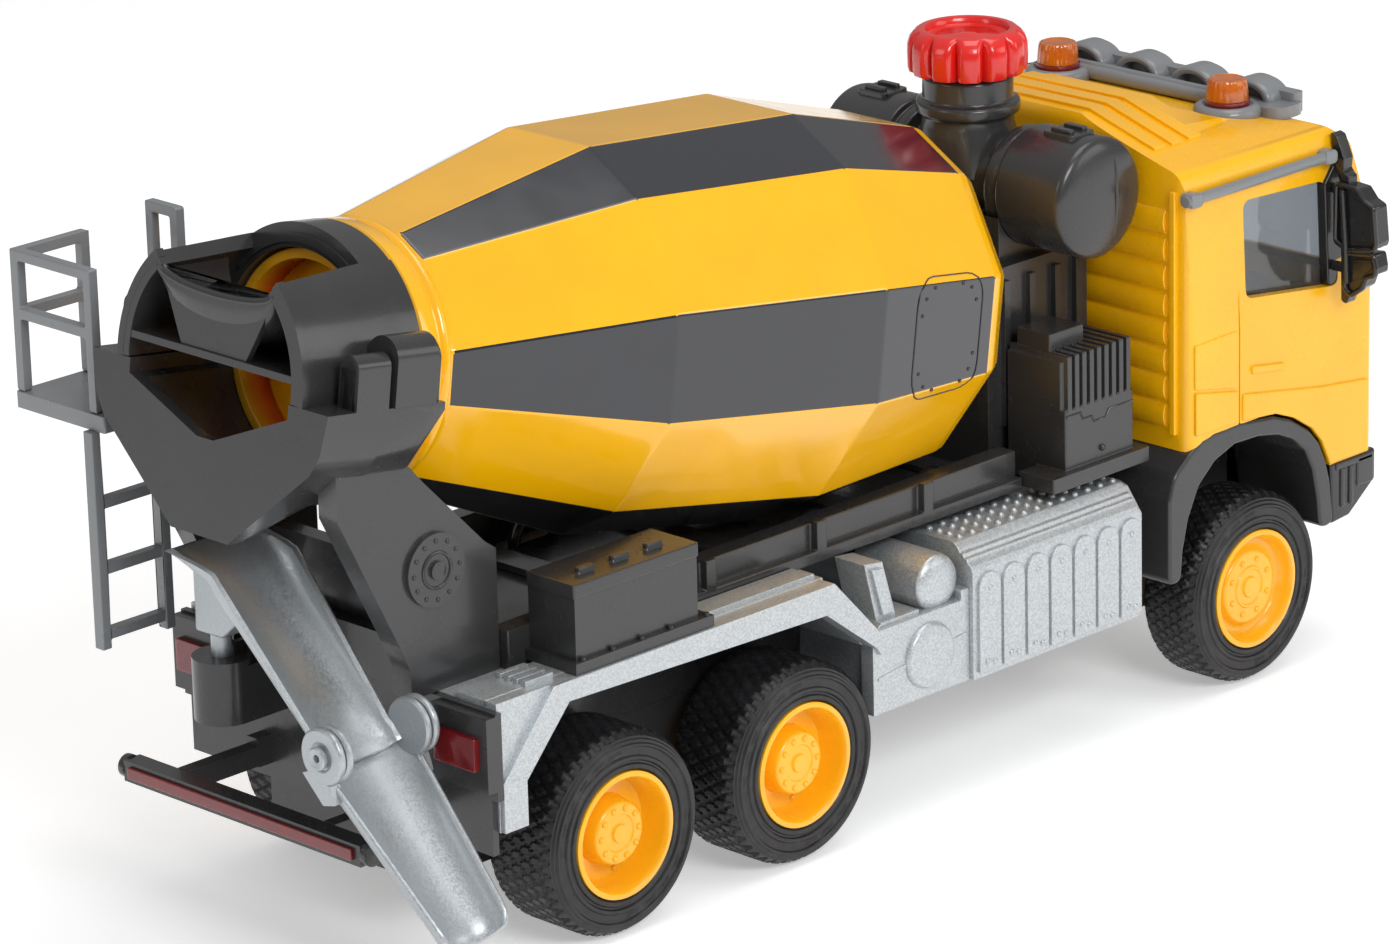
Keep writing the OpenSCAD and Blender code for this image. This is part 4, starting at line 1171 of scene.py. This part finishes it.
def build_arches():
    """Wheel arches with a rounded lip."""
    outer = [
        (122.4, 22.2), (122.4, 36.5), (123.6, 40.4), (127.4, 43.2), (130.6, 44.9), (134, 45.4),
        (140, 45.6), (148.4, 44.6), (152.7, 43.0), (157.3, 40.1), (159.9, 37.3), (161.6, 33.9),
        (162.8, 30.1), (163.7, 22.2),
    ]
    inner = [
        (160.2, 22.2), (159.6, 27.5), (158.3, 33.0), (156.4, 36.7), (153.6, 39.2), (149.7, 41.0),
        (144.7, 42.0), (138.7, 42.2), (133.8, 40.6), (129.8, 37.4), (127.2, 32.4), (125.9, 27.5),
        (125.4, 22.2),
    ]
    shape = Shape()
    shape.box((122.7, -PLATE_HALF - 0.2, 26), (157.6, PLATE_HALF + 0.2, 42))
    shape.sides = BOTH
    shape.prism(rounded(outer + inner, 3.0, 4), PLATE_HALF + 0.2, SIDE_Y + 0.2, "y")
    shape.finish("arch_pair", "chassis", "charcoal_plastic", bevel=0.6, segments=3,
                 replaces=["wheel_arches"])


LAMP_YS = (6, 18)
BEACON_X, BEACON_Y = 155.7, 18.4

# A lamp's hood from its recess to its front: x, half width, rise above and drop below its middle.
LAMP_HOOD = [
    (163.4, 3.0, 1.9, 1.9), (161.2, 3.4, 2.2, 1.4), (161.0, 4.2, 2.9, 1.4), (161.3, 4.7, 3.3, 1.4),
    (162.2, 4.9, 3.5, 1.4), (165.6, 4.9, 3.5, 1.4), (166.6, 4.4, 3.0, 1.4), (166.9, 3.6, 2.4, 1.4),
]
BEACON_PAD = [
    (5.0, 90.2), (5.5, 90.9), (5.6, 91.8), (5.3, 92.5), (4.7, 92.9), (4.1, 92.9), (3.9, 92.6),
    (0.3, 92.6),
]


def build_light_bar():
    shape = Shape()
    shape.prism(rounded(rectangle(158.6, -26.6, 166.2, 26.6), 3.0), 90.4, 92.4, "z")
    shape.prism(rounded(rectangle(164.0, -25.8, 166.5, 25.8), 1.2), 90.6, 93.9, "z")
    for x, z, radius in ((158.6, 92.0, 1.2), (159.8, 92.7, 0.8)):
        shape.tube([(x, -18, z), (x, 18, z)], radius, 16)
    shape.sides = BOTH
    for y in LAMP_YS:
        shape.grid([
            [(x, y + half * math.cos(a), 92.2 + (rise if math.sin(a) > 0 else drop) * math.sin(a))
             for a in turns(40)]
            for x, half, rise, drop in LAMP_HOOD
        ])
    shape.lathe(BEACON_PAD, (BEACON_X, BEACON_Y, 0), "z", 56)
    shape.prism(rounded(rectangle(156, 15.6, 160, 21.2), 0.8), 90.6, 92.4, "z")
    shape.finish("light_rail", "chassis", "grey_plastic", bevel=0.3, angle=50, replaces=["light_bar"])


def build_beacons():
    def ribbed(i, j, radius, distance):
        return (radius + (0.07 * math.cos(math.pi * i / 2) if 1 <= j <= 4 else 0), distance)

    lenses, bases = Shape(sides=BOTH), Shape(sides=BOTH)
    centre = (BEACON_X, BEACON_Y, 0)
    lenses.lathe([
        (3.4, 93.5), (3.45, 93.8), (3.3, 95.4), (3.15, 96.5), (2.95, 96.95), (2.5, 97.1), (2.2, 96.9),
        (0.2, 96.85),
    ], centre, "z", 80, ribbed)
    bases.lathe([(3.6, 92.5), (3.75, 92.9), (3.7, 93.5), (3.2, 93.75), (0.3, 93.8)], centre, "z", 56)
    lenses.finish("beacon_lenses", "chassis", "orange_lens", replaces=["beacons"])
    bases.finish("beacon_bases", "chassis", "red_lens")


MIRROR_HEAD = [
    (36.2, 81.2), (40.6, 80.9), (42.2, 79.1), (43.9, 78.4), (44.5, 72.4), (44.2, 71.4), (38.6, 70.4),
    (36.2, 71.4),
]
MIRROR_FOOT = [
    (38.4, 69.9), (44.0, 70.6), (44.5, 68.3), (44.4, 67.2), (42.6, 66.5), (41.8, 64.6), (39.4, 62.8),
    (38.2, 63.8),
]
MIRROR_STALK = [(36.6, 83.2), (38.4, 82.6), (39.0, 63.0), (38.0, 60.9), (36.9, 61.4)]
MIRROR_VISOR = [
    (33.2, 88.9), (34.6, 88.4), (36.2, 84.8), (36.0, 83.0), (37.4, 81.2), (35.4, 80.6), (34.4, 83.0),
]


def build_mirrors():
    shape = Shape()
    for side in BOTH:
        for outline in (MIRROR_HEAD, MIRROR_FOOT):
            rim = [(161.9, side * y, z) for y, z in rounded(outline, 0.9)]
            shape.tube(rim, 0.5, 8, closed=True)
        rib = [(161.7, side * 37.6, 80.4), (161.7, side * 38.3, 71.6), (161.8, side * 38.6, 64.8)]
        shape.tube(rib, 0.55, 10)
    shape.sides = BOTH
    shape.prism(rounded(MIRROR_HEAD, 0.7), 162.2, 165.4, "x")
    shape.prism(rounded(MIRROR_FOOT, 0.6), 162.2, 165.2, "x")
    shape.prism(rounded(MIRROR_STALK, 0.6), 162.4, 164.6, "x")
    shape.prism(rounded(MIRROR_VISOR, 0.5), 163.8, 166.2, "x")
    for z in (66.0, 79.0):
        shape.box((162.8, 34.4, z), (164.2, 37.2, z + 1.4))
    shape.finish("mirror_pair", "chassis", "dark_plastic", bevel=0.35, segments=3, replaces=["mirrors"])
    glass = Shape(sides=BOTH)
    head = [(38.8, 79.4), (41.8, 78.6), (43.2, 77.6), (43.7, 72.8), (39.2, 72.2)]
    foot = [(39.6, 69.0), (43.4, 69.6), (43.6, 68.2), (41.4, 66.2), (39.6, 65.2)]
    glass.prism(rounded(head, 0.5), 162.0, 162.3, "x")
    glass.prism(rounded(foot, 0.4), 162.0, 162.3, "x")
    glass.finish("mirror_faces", "chassis", "dark_plastic", bevel=0.1)


# ---------------------------------------------------------------- build

make_camera()
make_studio()

dress("base_plate chassis_frame subframe rear_panel toolbox toolbox_lid cooler_box pedestal "
      "gear_housing", "charcoal_plastic", 0.35)
dress("underrun_bar", "charcoal_plastic", 0.5)
dress("cradle", "charcoal_plastic", 0.7, 4)
dress("bumper", "dark_plastic", 0.5)
dress("ladder platform platform_rails drip_bars", "grey_plastic", 0.35, 3)
dress("cab_interior steering_wheel grille hoses", "dark_plastic", 0.15)
dress("tail_lights underrun_stripe", "red_lens", 0.15)
dress("front_lamps", "lamp_lens", 0.1)
dress("base_screws axle_rear axle_middle axle_front", "steel", 0.05)
dress("chute_post", "smooth_silver", 0.1)
dress("drum_mouth", "orange_plastic", 0.3)
dress("drum_journal knob_shaft", "white_plastic", 0.08)

build_wheels()
build_drum()
build_hatch()
build_knob()
build_cross_tank()
build_hopper()
build_chute()
for word, side in SIDE_NAMES.items():
    build_side_tank(word, side)
    build_fender(word, side)
build_boss_details()
build_cab()
build_cab_trim()
build_arches()
build_light_bar()
build_beacons()
build_mirrors()
